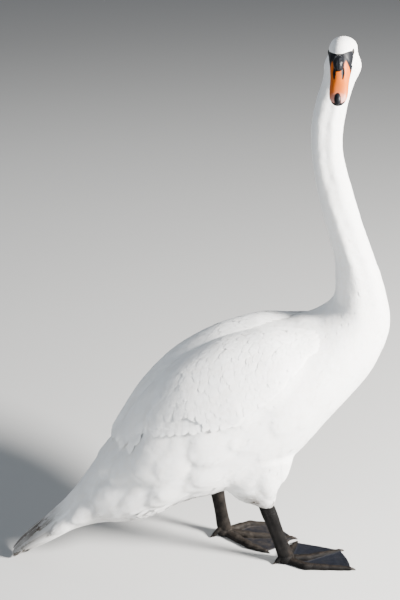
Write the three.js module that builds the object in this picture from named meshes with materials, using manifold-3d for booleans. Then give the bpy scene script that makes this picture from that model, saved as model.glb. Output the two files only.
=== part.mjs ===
// A life-size mute swan (Cygnus olor) standing upright, its head turned to its right.
// Millimetres. +X is the way the body faces, +Y is the bird's left, +Z is up, and the floor is Z = 0.
// The origin is the middle of the bounding box at floor level.
//
// Tail, trunk and neck are one long loft through a row of ribs, parted by thin cuts.
// The wings are shells that lie on that loft; the head and the bill are lofts in a frame of their own.

import * as THREE from "three";
import { mergeVertices } from "three/addons/utils/BufferGeometryUtils.js";
import Module from "manifold-3d";

const wasm = await Module();
wasm.setup();

// ---------------------------------------------------------------- driving dimensions

const GAP = 0.35; // clear space between pieces that meet
const FLOOR_CUT = 60; // depth of the block that levels the soles

// Ribs of the tail and the trunk, tail tip first. Each rib lies in a plane across the bird:
// top and bottom are [x, z] on the middle plane, half is half its width, and egg draws its upper part in.
const TRUNK_RIBS = [
  { name: "tail_tip", top: [-508, 14], bottom: [-504, -2], half: 14, egg: 0 },
  { name: "tail_outer", top: [-480, 49], bottom: [-468, 23], half: 30, egg: 0 },
  { name: "tail_middle", top: [-438, 86], bottom: [-421, 46], half: 43, egg: 0 },
  { name: "tail_inner", top: [-394, 132], bottom: [-368, 71], half: 53, egg: 0 },
  { name: "tail_coverts", top: [-353, 187], bottom: [-316, 84], half: 66, egg: 0.05 },
  { name: "rump", top: [-316, 239], bottom: [-268, 87], half: 86, egg: 0.08 },
  { name: "vent", top: [-275, 304], bottom: [-214, 106], half: 108, egg: 0.08 },
  { name: "flank", top: [-228, 368], bottom: [-150, 137], half: 128, egg: 0.06 },
  { name: "loin", top: [-165, 429], bottom: [-72, 158], half: 142, egg: 0.04 },
  { name: "middle", top: [-87, 474], bottom: [8, 190], half: 146, egg: 0.02 },
  { name: "ribs", top: [-4, 501], bottom: [78, 243], half: 141, egg: 0.02 },
  { name: "shoulder", top: [66, 515], bottom: [125, 299], half: 124, egg: 0.04 },
  { name: "breast", top: [118, 533], bottom: [178, 357], half: 101, egg: 0.04 },
  { name: "crop", top: [145, 562], bottom: [228, 417], half: 78, egg: 0 },
  { name: "neck_foot", top: [143, 604], bottom: [256, 503], half: 61, egg: 0 },
];

// Ribs of the neck: centre, half its size along the body and across it, and how far the nape side tips up (degrees).
const NECK_RIBS = [
  { name: "neck_root", at: [189, 0, 616], depth: 55, half: 50, tip: 26 },
  { name: "neck_low", at: [171.5, 0, 668], depth: 42, half: 42, tip: 10 },
  { name: "neck_mid_low", at: [152.5, 0, 724], depth: 36.5, half: 37, tip: -3 },
  { name: "neck_mid", at: [136, 0, 782], depth: 34.3, half: 34, tip: -10 },
  { name: "neck_mid_high", at: [122, 0, 840], depth: 31.7, half: 31.5, tip: -8 },
  { name: "neck_high", at: [118.5, 1, 896], depth: 31.5, half: 31.5, tip: 2 },
  { name: "neck_top", at: [126, 5, 942], depth: 30.8, half: 30.5, tip: 11 },
  { name: "neck_collar", at: [138, 9, 984], depth: 30.8, half: 31, tip: 12 },
  { name: "nape", at: [146, 12, 1015], depth: 36, half: 31, tip: 6 },
  { name: "neck_end", at: [146, 8, 1041], depth: 26, half: 22, tip: 0 },
];

// Where the long loft is cut, as rib numbers: tail, trunk, and four lengths of neck.
const CUTS = {
  tail: [0, 4.2],
  trunk: [4.2, 12.6],
  neck_base: [12.6, 15],
  neck_lower: [15, 17.5],
  neck_middle: [17.5, 20.5],
  neck_upper: [20.5, 24],
};

// A folded wing, back to front: rib number, angles of its upper and lower edge round the rib
// (0 is the bird's side, 90 its spine), and how far it stands off the trunk.
const WING_STATIONS = [
  { rib: 5.5, upper: 80, lower: 64, thick: 9 },
  { rib: 6.1, upper: 86, lower: 51, thick: 12 },
  { rib: 7.0, upper: 88, lower: 36, thick: 17 },
  { rib: 8.0, upper: 88, lower: 20, thick: 20 },
  { rib: 9.0, upper: 87, lower: 9, thick: 21 },
  { rib: 10.0, upper: 82, lower: 16, thick: 19 },
  { rib: 11.0, upper: 72, lower: 30, thick: 13 },
  { rib: 11.7, upper: 60, lower: 42, thick: 8 },
];

// The head: eye line in the body's frame, and how the bill points.
const HEAD = { eyes: [135.7, -24, 1046], heading: -104, down: 30.5, roll: 6 };

// Head and bill ribs in the head's own frame: x along the bill from the eyes, low and high on its middle plane.
const HEAD_RIBS = [
  { x: -53, low: -36, high: -16, half: 12 },
  { x: -45, low: -44, high: -3, half: 22 },
  { x: -32, low: -46, high: 10.5, half: 25.5 },
  { x: -18, low: -42, high: 19.5, half: 25.3 },
  { x: -4, low: -37, high: 24, half: 24.3 },
  { x: 10, low: -33.5, high: 24, half: 22.5 },
  { x: 21, low: -32, high: 20, half: 21 },
  { x: 30, low: -30, high: 14, half: 19.5 },
];
const BILL_START = 24;
const UPPER_BILL_RIBS = [
  { x: 24, low: -22, high: 15.5, half: 20 },
  { x: 37, low: -23, high: 9.5, half: 18.6 },
  { x: 50, low: -23.5, high: 2, half: 17.2 },
  { x: 64, low: -24.5, high: -5, half: 16.8 },
  { x: 78, low: -26, high: -10.5, half: 17 },
  { x: 90, low: -28.5, high: -15.5, half: 15.8 },
  { x: 98, low: -31.5, high: -20.5, half: 12 },
  { x: 104, low: -33.5, high: -27, half: 4.5 },
];
const LOWER_BILL_RIBS = [
  { x: 18, low: -31, high: -19, half: 16.5 },
  { x: 40, low: -30, high: -20, half: 15.5 },
  { x: 62, low: -30.5, high: -21.5, half: 14.6 },
  { x: 80, low: -32.5, high: -24, half: 14 },
  { x: 92, low: -34, high: -27, half: 11 },
  { x: 98, low: -34.5, high: -30, half: 6 },
];
const KNOB = { at: [38.5, 0, 8.5], radii: [15.5, 10, 11], pitch: 30 };
const NAIL = { at: [96, 0, -23.5], radii: [11, 6.8, 6.5], pitch: 40 };
const EYE = { x: 0, side: 17.5, z: 0, radius: 7.4 };

// Legs: the hip, the ankle and the toe joint, how far the shank is turned out of line (degrees),
// and on the floor each toe's knuckle and tip.
const LEGS = {
  right: {
    hip: [-14, -84, 262],
    ankle: [10, -69, 140],
    joint: [54, -60, 14],
    turn: 5,
    toes: {
      inner: { knuckle: [70, -22], tip: [84, 6] },
      middle: { knuckle: [100, -57], tip: [170, -30] },
      outer: { knuckle: [90, -88], tip: [181, -99] },
    },
    hindTip: [34, -66],
  },
  left: {
    hip: [-40, 84, 262],
    ankle: [-84, 60, 136],
    joint: [-62, 55, 14],
    turn: -28,
    toes: {
      inner: { knuckle: [-14, -1], tip: [16, -20] },
      middle: { knuckle: [2, 36], tip: [79, 27] },
      outer: { knuckle: [-6, 85], tip: [40, 84] },
    },
    hindTip: [-86, 47],
  },
};
const THIGH = [
  { share: 0, back: 84, front: 76, half: 46 },
  { share: 0.35, back: 84, front: 56, half: 40 },
  { share: 0.62, back: 80, front: 35, half: 33 },
  { share: 0.82, back: 60, front: 26, half: 25 },
  { share: 0.93, back: 34, front: 20, half: 19 },
  { share: 1, back: 15, front: 15, half: 14 },
];
const TARSUS = [
  { share: 0, depth: 16, half: 12 },
  { share: 0.18, depth: 16.5, half: 12.5 },
  { share: 0.4, depth: 15.2, half: 9.5 },
  { share: 0.7, depth: 15, half: 9 },
  { share: 0.92, depth: 16.5, half: 11 },
];
const TOE_RADIUS = { root: 9, knuckle: 7.6, tip: 4.6 };
const JOINT_BALL = { z: 10, radii: [17, 14, 13] };
const HIND_TOE = { rise: 15, root: 6, tip: 4.6, sides: 6 };
const SOLE_DEPTH = 1.2; // how much of each round toe is levelled off where it bears
const WEB = { bottom: 0.6, top: 3.8, bulge: 6, edgeSteps: 4 };
const CLAW = { length: 10, root: 3.2, tip: 1.2, hindLength: 7, hindRoot: 2.6, sides: 6 };

// ---------------------------------------------------------------- materials

const finish = (color, roughness, metalness = 0) => new THREE.MeshStandardMaterial({ color, roughness, metalness });
const MATERIALS = {
  plumage: finish(0xf2f1ee, 0.85),
  bill: finish(0xf07a2e, 0.4),
  horn: finish(0x17171b, 0.45),
  eye: finish(0x1a0f0a, 0.08),
  leg: finish(0x34322f, 0.6),
};

// ---------------------------------------------------------------- small helpers

const radians = THREE.MathUtils.degToRad;
const vector = (list) => new THREE.Vector3(...list);

// A smooth run through rows of numbers, at row number t.
function between(rows, t) {
  const last = rows.length - 1;
  const i = Math.min(Math.max(Math.floor(t), 0), last - 1);
  const f = t - i;
  const row = (k) => rows[Math.min(Math.max(k, 0), last)];
  const [a, b, c, d] = [row(i - 1), row(i), row(i + 1), row(i + 2)];
  return b.map((_, k) => {
    const leave = (c[k] - a[k]) / 2;
    const arrive = (d[k] - b[k]) / 2;
    const climb = c[k] - b[k];
    return b[k] + f * (leave + f * (3 * climb - 2 * leave - arrive + f * (leave + arrive - 2 * climb)));
  });
}

// A closed solid from rings of equally many points, each end closed by a fan round the ring's middle.
function skin(rings) {
  const around = rings[0].length;
  const places = rings.flat();
  const faces = [];
  for (let r = 0; r + 1 < rings.length; r++) {
    for (let k = 0; k < around; k++) {
      const a = r * around + k;
      const b = r * around + ((k + 1) % around);
      faces.push(a, b, a + around, b, b + around, a + around);
    }
  }
  for (const [r, turn] of [[0, true], [rings.length - 1, false]]) {
    const middle = rings[r].reduce((sum, p) => sum.add(p), new THREE.Vector3()).divideScalar(around);
    places.push(middle);
    for (let k = 0; k < around; k++) {
      const pair = [r * around + k, r * around + ((k + 1) % around)];
      if (turn) pair.reverse();
      faces.push(...pair, places.length - 1);
    }
  }
  const geometry = new THREE.BufferGeometry().setFromPoints(places);
  geometry.setIndex(faces);
  return solid(geometry);
}

// A closed geometry as a solid of the boolean library, turned right side out.
function solid(geometry) {
  const bare = geometry.index ? geometry.toNonIndexed() : geometry.clone();
  bare.deleteAttribute("normal");
  bare.deleteAttribute("uv");
  const weld = 1e-3;
  const merged = mergeVertices(bare, weld);
  const triVerts = new Uint32Array(merged.index.array);
  const vertProperties = merged.attributes.position.array;
  const made = new wasm.Manifold(new wasm.Mesh({ numProp: 3, vertProperties, triVerts }));
  if (made.volume() > 0) return made;
  triVerts.reverse();
  return new wasm.Manifold(new wasm.Mesh({ numProp: 3, vertProperties, triVerts }));
}

// The largest body of a solid, so that a cut leaves no crumbs.
function largest(shape) {
  return shape.decompose().sort((a, b) => b.volume() - a.volume())[0];
}

// A block below the floor, which levels whatever bears on it.
function underFloor() {
  const size = 2000;
  const block = new THREE.BoxGeometry(size, size, FLOOR_CUT);
  block.translate(0, 0, -FLOOR_CUT / 2);
  return solid(block);
}

const swan = new THREE.Group();
function add(name, material, shape) {
  const { vertProperties, triVerts } = largest(shape).getMesh();
  const geometry = new THREE.BufferGeometry();
  geometry.setAttribute("position", new THREE.BufferAttribute(new Float32Array(vertProperties), 3));
  geometry.setIndex(new THREE.BufferAttribute(new Uint32Array(triVerts), 1));
  geometry.computeVertexNormals();
  const mesh = new THREE.Mesh(geometry, MATERIALS[material]);
  mesh.name = name;
  swan.add(mesh);
}

// ---------------------------------------------------------------- tail, trunk and neck

// Every rib as [centre, upward direction, half depth, half width, egg], ready to be run through.
const trunkRows = TRUNK_RIBS.map(({ top, bottom, half, egg }) => {
  const up = new THREE.Vector3(top[0] - bottom[0], 0, top[1] - bottom[1]);
  const depth = up.length() / 2;
  up.normalize();
  return [(top[0] + bottom[0]) / 2, 0, (top[1] + bottom[1]) / 2, up.x, up.y, up.z, depth, half, egg];
});
const neckRows = NECK_RIBS.map(({ at, depth, half, tip }) => (
  [...at, -Math.cos(radians(tip)), 0, Math.sin(radians(tip)), depth, half, 0]
));
const BODY_ROWS = [...trunkRows, ...neckRows];

// The frame of the body at rib number t.
function bodyFrame(t) {
  const [x, y, z, ux, uy, uz, depth, half, egg] = between(BODY_ROWS, t);
  const step = 0.02;
  const next = vector(between(BODY_ROWS, Math.min(t + step, BODY_ROWS.length - 1)).slice(0, 3));
  const last = vector(between(BODY_ROWS, Math.max(t - step, 0)).slice(0, 3));
  const along = next.sub(last).normalize();
  const up = new THREE.Vector3(ux, uy, uz).normalize();
  const side = new THREE.Vector3().crossVectors(up, along).normalize();
  return { centre: new THREE.Vector3(x, y, z), up, side, along, depth, half, egg };
}

// A point of the body's surface: angle 0 is the bird's left side, 90 its back. grow moves it outwards.
function bodyPoint(t, degrees, grow = 0) {
  const { centre, up, side, depth, half, egg } = bodyFrame(t);
  const [c, s] = [Math.cos(radians(degrees)), Math.sin(radians(degrees))];
  return centre.clone()
    .addScaledVector(up, (depth + grow) * s)
    .addScaledVector(side, (half + grow) * c * (1 - egg * s));
}

// The stretch of the body's loft between two rib numbers.
function bodyPiece([from, to], grow = 0, stepsPerRib = 1.6, around = 24) {
  const length = bodyFrame(from).centre.distanceTo(bodyFrame(to).centre) || 1;
  const trim = ((GAP / 2) * (to - from)) / length;
  const start = from > 0 ? from + trim : from;
  const end = to < BODY_ROWS.length - 1 ? to - trim : to;
  const steps = Math.max(2, Math.round((end - start) * stepsPerRib));
  const rings = [];
  for (let i = 0; i <= steps; i++) {
    const t = start + ((end - start) * i) / steps;
    rings.push(Array.from({ length: around }, (_, k) => bodyPoint(t, (360 * k) / around, grow)));
  }
  return skin(rings);
}

// ---------------------------------------------------------------- wings

function wing() {
  const rows = WING_STATIONS.map(({ rib, upper, lower, thick }) => [rib, upper, lower, thick]);
  const [long, across] = [12, 7];
  const sunk = -5; // the shell's inner face starts inside the trunk, which is cut away later
  const rim = 0.05; // the thickness at the edges is that of this share of the way in
  const roundness = 0.42;
  const rings = [];
  for (let i = 0; i <= long; i++) {
    const [rib, upper, lower, thick] = between(rows, ((rows.length - 1) * i) / long);
    const outer = [];
    const inner = [];
    for (let k = 0; k <= across; k++) {
      const v = k / across;
      const angle = upper + (lower - upper) * v;
      const swell = Math.pow(Math.sin(Math.PI * Math.min(Math.max(v, rim), 1 - rim)), roundness);
      outer.push(bodyPoint(rib, angle, thick * swell));
      inner.push(bodyPoint(rib, angle, sunk));
    }
    rings.push([...outer, ...inner.reverse()]);
  }
  return skin(rings);
}

// ---------------------------------------------------------------- head and bill

const headFrame = new THREE.Object3D();
headFrame.rotation.order = "ZYX";
headFrame.rotation.set(radians(HEAD.roll), radians(HEAD.down), radians(HEAD.heading));
headFrame.position.copy(vector(HEAD.eyes));
headFrame.updateMatrixWorld(true);
const placed = (shape) => shape.transform(headFrame.matrixWorld.elements);

// A loft through head ribs. power is how square each ring is, and waist is how high its widest line lies.
function headLoft(ribs, { grow = 0, steps = 2, around = 20, power = 2, waist = 0.5 } = {}) {
  const rows = ribs.map(({ x, low, high, half }) => [x, low, high, half]);
  const squared = (v) => Math.sign(v) * Math.pow(Math.abs(v), 2 / power);
  const total = (rows.length - 1) * steps;
  const rings = [];
  for (let i = 0; i <= total; i++) {
    const [x, low, high, half] = between(rows, i / steps);
    const level = low + (high - low) * waist;
    rings.push(Array.from({ length: around }, (_, k) => {
      const angle = (2 * Math.PI * k) / around;
      const [c, s] = [squared(Math.cos(angle)), squared(Math.sin(angle))];
      const reach = (s > 0 ? high - level : level - low) + grow;
      return new THREE.Vector3(x, (half + grow) * c, level + reach * s);
    }));
  }
  return skin(rings);
}

function ball({ at, radii, pitch = 0 }, grow = 0, detail = [12, 8]) {
  const geometry = new THREE.SphereGeometry(1, ...detail);
  geometry.scale(...radii.map((r) => r + grow));
  geometry.rotateY(radians(pitch));
  geometry.translate(...at);
  return solid(geometry);
}

// Everything ahead of x in the head's frame.
function ahead(x) {
  const size = 200;
  const block = new THREE.BoxGeometry(size, size, size);
  block.translate(x + size / 2, 0, 0);
  return solid(block);
}

const EYE_SIDES = { left: 1, right: -1 };
const eyeBall = (side, grow = 0) => ball({ at: [EYE.x, side * EYE.side, EYE.z], radii: Array(3).fill(EYE.radius) }, grow);
const upperBillWhole = (grow = 0) => headLoft(UPPER_BILL_RIBS, { grow, power: 2.4, waist: 0.1, steps: 1 });
const headWhole = (grow = 0) => headLoft(HEAD_RIBS, { grow });
const lowerBillWhole = (grow = 0) => headLoft(LOWER_BILL_RIBS, { grow, around: 14, steps: 1, power: 2.4, waist: 0.8 });
const nailWhole = (grow = 0) => ball(NAIL, grow);

function headParts() {
  const face = headWhole().subtract(ahead(BILL_START));
  const faceClear = headWhole(GAP).subtract(ahead(BILL_START + GAP));
  return {
    head: Object.values(EYE_SIDES).reduce((shape, side) => shape.subtract(eyeBall(side, GAP)), face),
    upper: upperBillWhole().intersect(ahead(BILL_START + GAP)).subtract(nailWhole(GAP)),
    knob: ball(KNOB).subtract(upperBillWhole(GAP)).subtract(faceClear),
    nail: nailWhole(),
    lower: lowerBillWhole().subtract(upperBillWhole(GAP)).subtract(nailWhole(GAP)).subtract(faceClear),
  };
}

// ---------------------------------------------------------------- legs

// A limb along a row of stations, each {at, front, back, half}: front and back lie along X, half along Y,
// all turned about Z.
function limb(stations, { around, steps, turn = 0 }) {
  const rows = stations.map(({ at, front, back, half }) => [...at, front, back, half]);
  const total = (rows.length - 1) * steps;
  const rings = [];
  for (let i = 0; i <= total; i++) {
    const [x, y, z, front, back, half] = between(rows, i / steps);
    rings.push(Array.from({ length: around }, (_, k) => {
      const [c, s] = [Math.cos((2 * Math.PI * k) / around), Math.sin((2 * Math.PI * k) / around)];
      const spoke = new THREE.Vector2((c > 0 ? front : back) * c, half * s).rotateAround(HUB, radians(turn));
      return new THREE.Vector3(x + spoke.x, y + spoke.y, z);
    }));
  }
  return skin(rings);
}

const HUB = new THREE.Vector2();
const mix = (a, b, share) => a.map((v, k) => v + (b[k] - v) * share);

function thigh({ hip, ankle }) {
  return limb(THIGH.map(({ share, ...sizes }) => ({ at: mix(hip, ankle, share), ...sizes })), { around: 18, steps: 2 });
}

function tarsus({ ankle, joint, turn }, grow = 0) {
  const top = [ankle[0], ankle[1], ankle[2] - GAP];
  return limb(TARSUS.map(({ share, depth, half }) => (
    { at: mix(top, joint, share), front: depth + grow, back: depth + grow, half: half + grow }
  )), { around: 14, steps: 2, turn });
}

// A tapered tube through points, with blunted ends.
function tube(points, radii, sides = 8) {
  const blunt = 0.7;
  const last = points.length - 1;
  const direction = (i) => points[Math.min(i + 1, last)].clone().sub(points[Math.max(i - 1, 0)]).normalize();
  const ring = (centre, along, radius) => {
    const side = new THREE.Vector3(along.y, -along.x, 0).normalize();
    const up = side.clone().cross(along);
    return Array.from({ length: sides }, (_, k) => {
      const angle = (2 * Math.PI * (k + 0.5)) / sides;
      return centre.clone()
        .addScaledVector(side, radius * Math.cos(angle))
        .addScaledVector(up, radius * Math.sin(angle));
    });
  };
  const end = (i, way) => {
    const centre = points[i].clone().addScaledVector(direction(i), way * blunt * radii[i]);
    return ring(centre, direction(i), blunt * radii[i]);
  };
  return skin([end(0, -1), ...points.map((point, i) => ring(point, direction(i), radii[i])), end(last, 1)]);
}

// The three points of a toe, each at the height that leaves a level sole.
function toeLine({ joint }, { knuckle, tip }) {
  const place = ([x, y], radius) => new THREE.Vector3(x, y, radius - SOLE_DEPTH);
  const [root, bend, end] = [place(joint, TOE_RADIUS.root), place(knuckle, TOE_RADIUS.knuckle), place(tip, TOE_RADIUS.tip)];
  return { root, bend, end, reach: end.clone().sub(bend).setZ(0).normalize() };
}

function toeSolid(leg, toe) {
  const { root, bend, end } = toeLine(leg, toe);
  return tube([root, bend, end], [TOE_RADIUS.root, TOE_RADIUS.knuckle, TOE_RADIUS.tip]);
}

// The web between two toes: a thin plate whose front edge bulges a little.
function web(leg, one, other) {
  const [a, b] = [toeLine(leg, one), toeLine(leg, other)];
  const front = a.end.clone().lerp(b.end, 0.5);
  front.addScaledVector(a.reach.clone().add(b.reach).normalize(), 2 * WEB.bulge);
  const outline = new THREE.Shape();
  outline.moveTo(a.root.x, a.root.y);
  outline.lineTo(a.bend.x, a.bend.y);
  outline.lineTo(a.end.x, a.end.y);
  outline.quadraticCurveTo(front.x, front.y, b.end.x, b.end.y);
  outline.lineTo(b.bend.x, b.bend.y);
  outline.closePath();
  const depth = WEB.top - WEB.bottom;
  const geometry = new THREE.ExtrudeGeometry(outline, { depth, bevelEnabled: false, curveSegments: WEB.edgeSteps });
  geometry.translate(0, 0, WEB.bottom);
  return solid(geometry);
}

function claw(leg, toe, grow = 0) {
  const { end, reach } = toeLine(leg, toe);
  const tip = end.clone().addScaledVector(reach, CLAW.length);
  tip.z = CLAW.tip;
  return tube([end, tip], [CLAW.root + grow, CLAW.tip + grow], CLAW.sides);
}

// The hind toe hangs from the back of the joint, and its tip just clears the floor.
function hindLine({ joint, hindTip }) {
  const root = new THREE.Vector3(joint[0], joint[1], joint[2] + HIND_TOE.rise);
  const end = new THREE.Vector3(...hindTip, HIND_TOE.tip);
  return { root, end, reach: end.clone().sub(root).setZ(0).normalize() };
}

function hindClaw(leg, grow = 0) {
  const { end, reach } = hindLine(leg);
  const tip = end.clone().addScaledVector(reach, CLAW.hindLength);
  tip.z = CLAW.tip + GAP;
  return tube([end, tip], [CLAW.hindRoot + grow, CLAW.tip + grow], CLAW.sides);
}

function foot(leg) {
  const { inner, middle, outer } = leg.toes;
  const hind = hindLine(leg);
  const parts = [
    ...Object.values(leg.toes).map((toe) => toeSolid(leg, toe)),
    web(leg, inner, middle),
    web(leg, middle, outer),
    ball({ at: [leg.joint[0], leg.joint[1], JOINT_BALL.z], radii: JOINT_BALL.radii }),
    tube([hind.root, hind.end], [HIND_TOE.root, HIND_TOE.tip], HIND_TOE.sides),
  ];
  return parts.reduce((sum, piece) => sum.add(piece)).subtract(underFloor()).subtract(tarsus(leg, GAP));
}

// ---------------------------------------------------------------- assembly

const body = Object.keys(CUTS).map((name) => [name, bodyPiece(CUTS[name])]);
const bodyClear = Object.values(CUTS).map((cut) => bodyPiece(cut, GAP));
const clearOf = (shape, others) => others.reduce((rest, other) => rest.subtract(other), shape);
const parts = headParts();

for (const [name, piece] of body) {
  const neighbours = name === "neck_upper" ? [placed(headWhole(GAP))] : [];
  add(name, "plumage", clearOf(piece, [...neighbours, underFloor()]));
}

add("wing_left", "plumage", clearOf(wing(), bodyClear));
add("wing_right", "plumage", clearOf(wing().mirror([0, 1, 0]), bodyClear));

add("head", "plumage", placed(parts.head));
add("bill_upper", "bill", placed(parts.upper));
add("bill_lower", "horn", placed(parts.lower));
add("bill_knob", "horn", placed(parts.knob));
add("bill_nail", "horn", placed(parts.nail));
for (const [name, side] of Object.entries(EYE_SIDES)) add("eye_" + name, "eye", placed(eyeBall(side)));

for (const [side, leg] of Object.entries(LEGS)) {
  const claws = Object.entries(leg.toes).map(([name, toe]) => [name, claw(leg, toe), claw(leg, toe, GAP)]);
  claws.push(["hind", hindClaw(leg), hindClaw(leg, GAP)]);
  add("thigh_" + side, "plumage", clearOf(thigh(leg), bodyClear));
  add("tarsus_" + side, "leg", tarsus(leg));
  add("foot_" + side, "leg", clearOf(foot(leg), claws.map(([, , grown]) => grown)));
  for (const [name, made] of claws) add("claw_" + name + "_" + side, "horn", made);
}

// The origin goes to the middle of the bounding box, on the floor.
const box = new THREE.Box3().setFromObject(swan);
const middle = box.getCenter(new THREE.Vector3());
swan.position.set(-middle.x, -middle.y, -box.min.z);

export default swan;
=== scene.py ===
"""A life-size mute swan: one skin under a coat of solid vanes, with bill, eyes and legs in full detail.

The shape is worked in millimetres in the bird's own axes, +X forwards, +Y to its left, +Z up. Each mesh is
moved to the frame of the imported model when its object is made.
"""

import math

import bmesh
import bpy
import numpy as np
from mathutils import Matrix, Vector
from mathutils.bvhtree import BVHTree
from mathutils.kdtree import KDTree


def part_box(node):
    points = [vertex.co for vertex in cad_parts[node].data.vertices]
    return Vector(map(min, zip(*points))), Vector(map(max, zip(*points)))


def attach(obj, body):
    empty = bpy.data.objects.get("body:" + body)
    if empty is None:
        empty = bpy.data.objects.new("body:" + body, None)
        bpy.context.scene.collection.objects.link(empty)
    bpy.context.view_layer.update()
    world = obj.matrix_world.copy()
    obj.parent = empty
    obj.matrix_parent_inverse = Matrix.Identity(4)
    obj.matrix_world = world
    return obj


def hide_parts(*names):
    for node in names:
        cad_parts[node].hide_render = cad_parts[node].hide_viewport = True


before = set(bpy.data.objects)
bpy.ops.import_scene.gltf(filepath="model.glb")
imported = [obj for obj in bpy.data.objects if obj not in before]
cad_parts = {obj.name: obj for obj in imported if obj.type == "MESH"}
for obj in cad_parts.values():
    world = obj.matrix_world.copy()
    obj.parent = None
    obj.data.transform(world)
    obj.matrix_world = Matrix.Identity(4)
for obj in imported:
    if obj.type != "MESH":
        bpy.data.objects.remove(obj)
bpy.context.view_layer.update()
rng = np.random.default_rng(4634)

# ---- sizes of the bird (mm)

# Ribs of tail and trunk: top x, z and bottom x, z on the middle plane, half width, how far the top draws in.
TRUNK_RIBS = [
    [-508, 14, -504, -2, 14, 0],
    [-480, 49, -468, 23, 30, 0],
    [-438, 86, -421, 46, 43, 0],
    [-394, 132, -368, 71, 53, 0],
    [-353, 187, -316, 84, 66, 0.05],
    [-316, 239, -268, 87, 86, 0.08],
    [-275, 304, -214, 106, 108, 0.08],
    [-228, 368, -150, 137, 128, 0.06],
    [-165, 429, -72, 158, 142, 0.04],
    [-87, 474, 8, 190, 146, 0.02],
    [-4, 501, 78, 243, 141, 0.02],
    [66, 515, 125, 299, 124, 0.04],
    [118, 533, 178, 357, 101, 0.04],
    [145, 562, 228, 417, 78, 0],
    [143, 604, 256, 503, 61, 0],
]
# Ribs of the neck: centre x, y, z, half size along the body and across it, tip of the nape side (degrees).
NECK_RIBS = [
    [189, 0, 616, 55, 50, 26],
    [171.5, 0, 668, 42, 42, 10],
    [152.5, 0, 724, 36.5, 37, -3],
    [136, 0, 782, 34.3, 34, -10],
    [122, 0, 840, 31.7, 31.5, -8],
    [118.5, 1, 896, 31.5, 31.5, 2],
    [126, 5, 942, 30.8, 30.5, 11],
    [138, 9, 984, 30.8, 31, 12],
    [146, 12, 1015, 36, 31, 6],
    [146, 8, 1041, 26, 22, 0],
]
# Folded wing, back to front: rib number, angle of upper and lower edge (0 the side, 90 the spine), thickness.
WING_STATIONS = np.array([
    [5.5, 80, 64, 9],
    [6.1, 86, 51, 12],
    [7.0, 88, 36, 17],
    [8.0, 88, 20, 20],
    [9.0, 87, 9, 21],
    [10.0, 82, 16, 19],
    [11.0, 72, 30, 13],
    [11.7, 60, 42, 8],
])
WING_COAT = 4.5  # how far the skin lies under the surface of the folded wing
# Head: the middle of the eye line, and how the bill points (degrees).
HEAD_EYES = np.array([135.7, -24, 1046])
HEAD_TURN = {"heading": -104, "down": 30.5, "roll": 6}
# Ribs of head and bill in the head's own axes: x along the bill from the eyes, low, high, half width.
HEAD_RIBS = [
    [-57, -31, -22, 5],
    [-53, -36, -16, 12],
    [-45, -44, -3, 22],
    [-32, -46, 10.5, 25.5],
    [-18, -42, 19.5, 25.3],
    [-4, -37, 24, 24.3],
    [10, -33.5, 24, 22.5],
    [21, -32, 20, 21],
    [27, -28, 15, 19.6],
    [31, -24, 10, 17],
]
UPPER_BILL_RIBS = [
    [18, -21.5, 16.5, 20.2],
    [24, -22, 15.5, 20],
    [37, -23, 9.5, 18.6],
    [50, -23.5, 2, 17.2],
    [64, -24.5, -5, 16.8],
    [78, -26, -10.5, 17],
    [90, -28.5, -15.5, 15.8],
    [98, -31.5, -20.5, 12],
    [102.5, -33.2, -25.5, 7.2],
    [104.3, -33.4, -29.5, 2.2],
]
LOWER_BILL_RIBS = [
    [16, -31, -20, 15],
    [18, -31, -19, 16.5],
    [40, -30, -20, 15.5],
    [62, -30.5, -21.5, 14.6],
    [80, -32.5, -24, 14],
    [92, -34, -27, 11],
    [98, -34.5, -30, 6],
    [99, -34, -31.5, 2],
]
EYE = {"side": 16.8, "radius": 7.4}
KNOB = {"at": (38.5, 0, 8.5), "radii": (15.5, 10, 11), "pitch": 30}
NAIL = {"at": (96, 0, -23.5), "radii": (11, 6.8, 6.5), "pitch": 40}

# By share of the thigh's length: how far it reaches back, forward and to each side.
THIGH = np.array([
    [0, 84, 76, 46],
    [0.35, 84, 56, 40],
    [0.62, 80, 35, 33],
    [0.82, 60, 26, 25],
    [0.93, 34, 20, 19],
    [1, 15, 15, 14],
])
# By share of the shank's length: half depth and half width.
TARSUS = np.array([
    [0, 16, 12],
    [0.18, 16.5, 12.5],
    [0.4, 15.2, 9.5],
    [0.7, 15, 9],
    [0.92, 16.5, 11],
])
# Places of the joints, the leg's turn (degrees), knuckle and tip of each toe, end of the hind toe, and how
# dusty the leg is.
LEGS = {
    "right": {
        "hip": (-14, -84, 262), "ankle": (10, -69, 140), "joint": (54, -60, 14), "turn": 5,
        "toes": {"inner": ((70, -22), (84, 6)), "middle": ((100, -57), (170, -30)),
                 "outer": ((90, -88), (181, -99))},
        "hind": (34, -66), "worn": 0.12,
    },
    "left": {
        "hip": (-40, 84, 262), "ankle": (-84, 60, 136), "joint": (-62, 55, 14), "turn": -28,
        "toes": {"inner": ((-14, -1), (16, -20)), "middle": ((2, 36), (79, 27)),
                 "outer": ((-6, 85), (40, 84))},
        "hind": (-86, 47), "worn": 0.8,
    },
}
for leg in LEGS.values():
    leg.update({name: np.array(leg[name], float) for name in ("hip", "ankle", "joint")})
TOE_RADII = (9, 7.6, 4.6)
SOLE_DEPTH = 1.2
HIND_TOE = {"rise": 15, "root": 6, "tip": 4.6}
CLAW = {"length": 10, "root": 3.2, "tip": 1.2, "hind_length": 7, "hind_root": 2.6, "hind_rise": 0.35}
WEB = {"bottom": 0.2, "top": 3.8, "bulge": 6}

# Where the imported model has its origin, seen from the bird's own axes.
SHIFT = np.array([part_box("tail")[0].x * 1000 - TRUNK_RIBS[0][0], 0, 0])

# ---- small helpers


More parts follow.
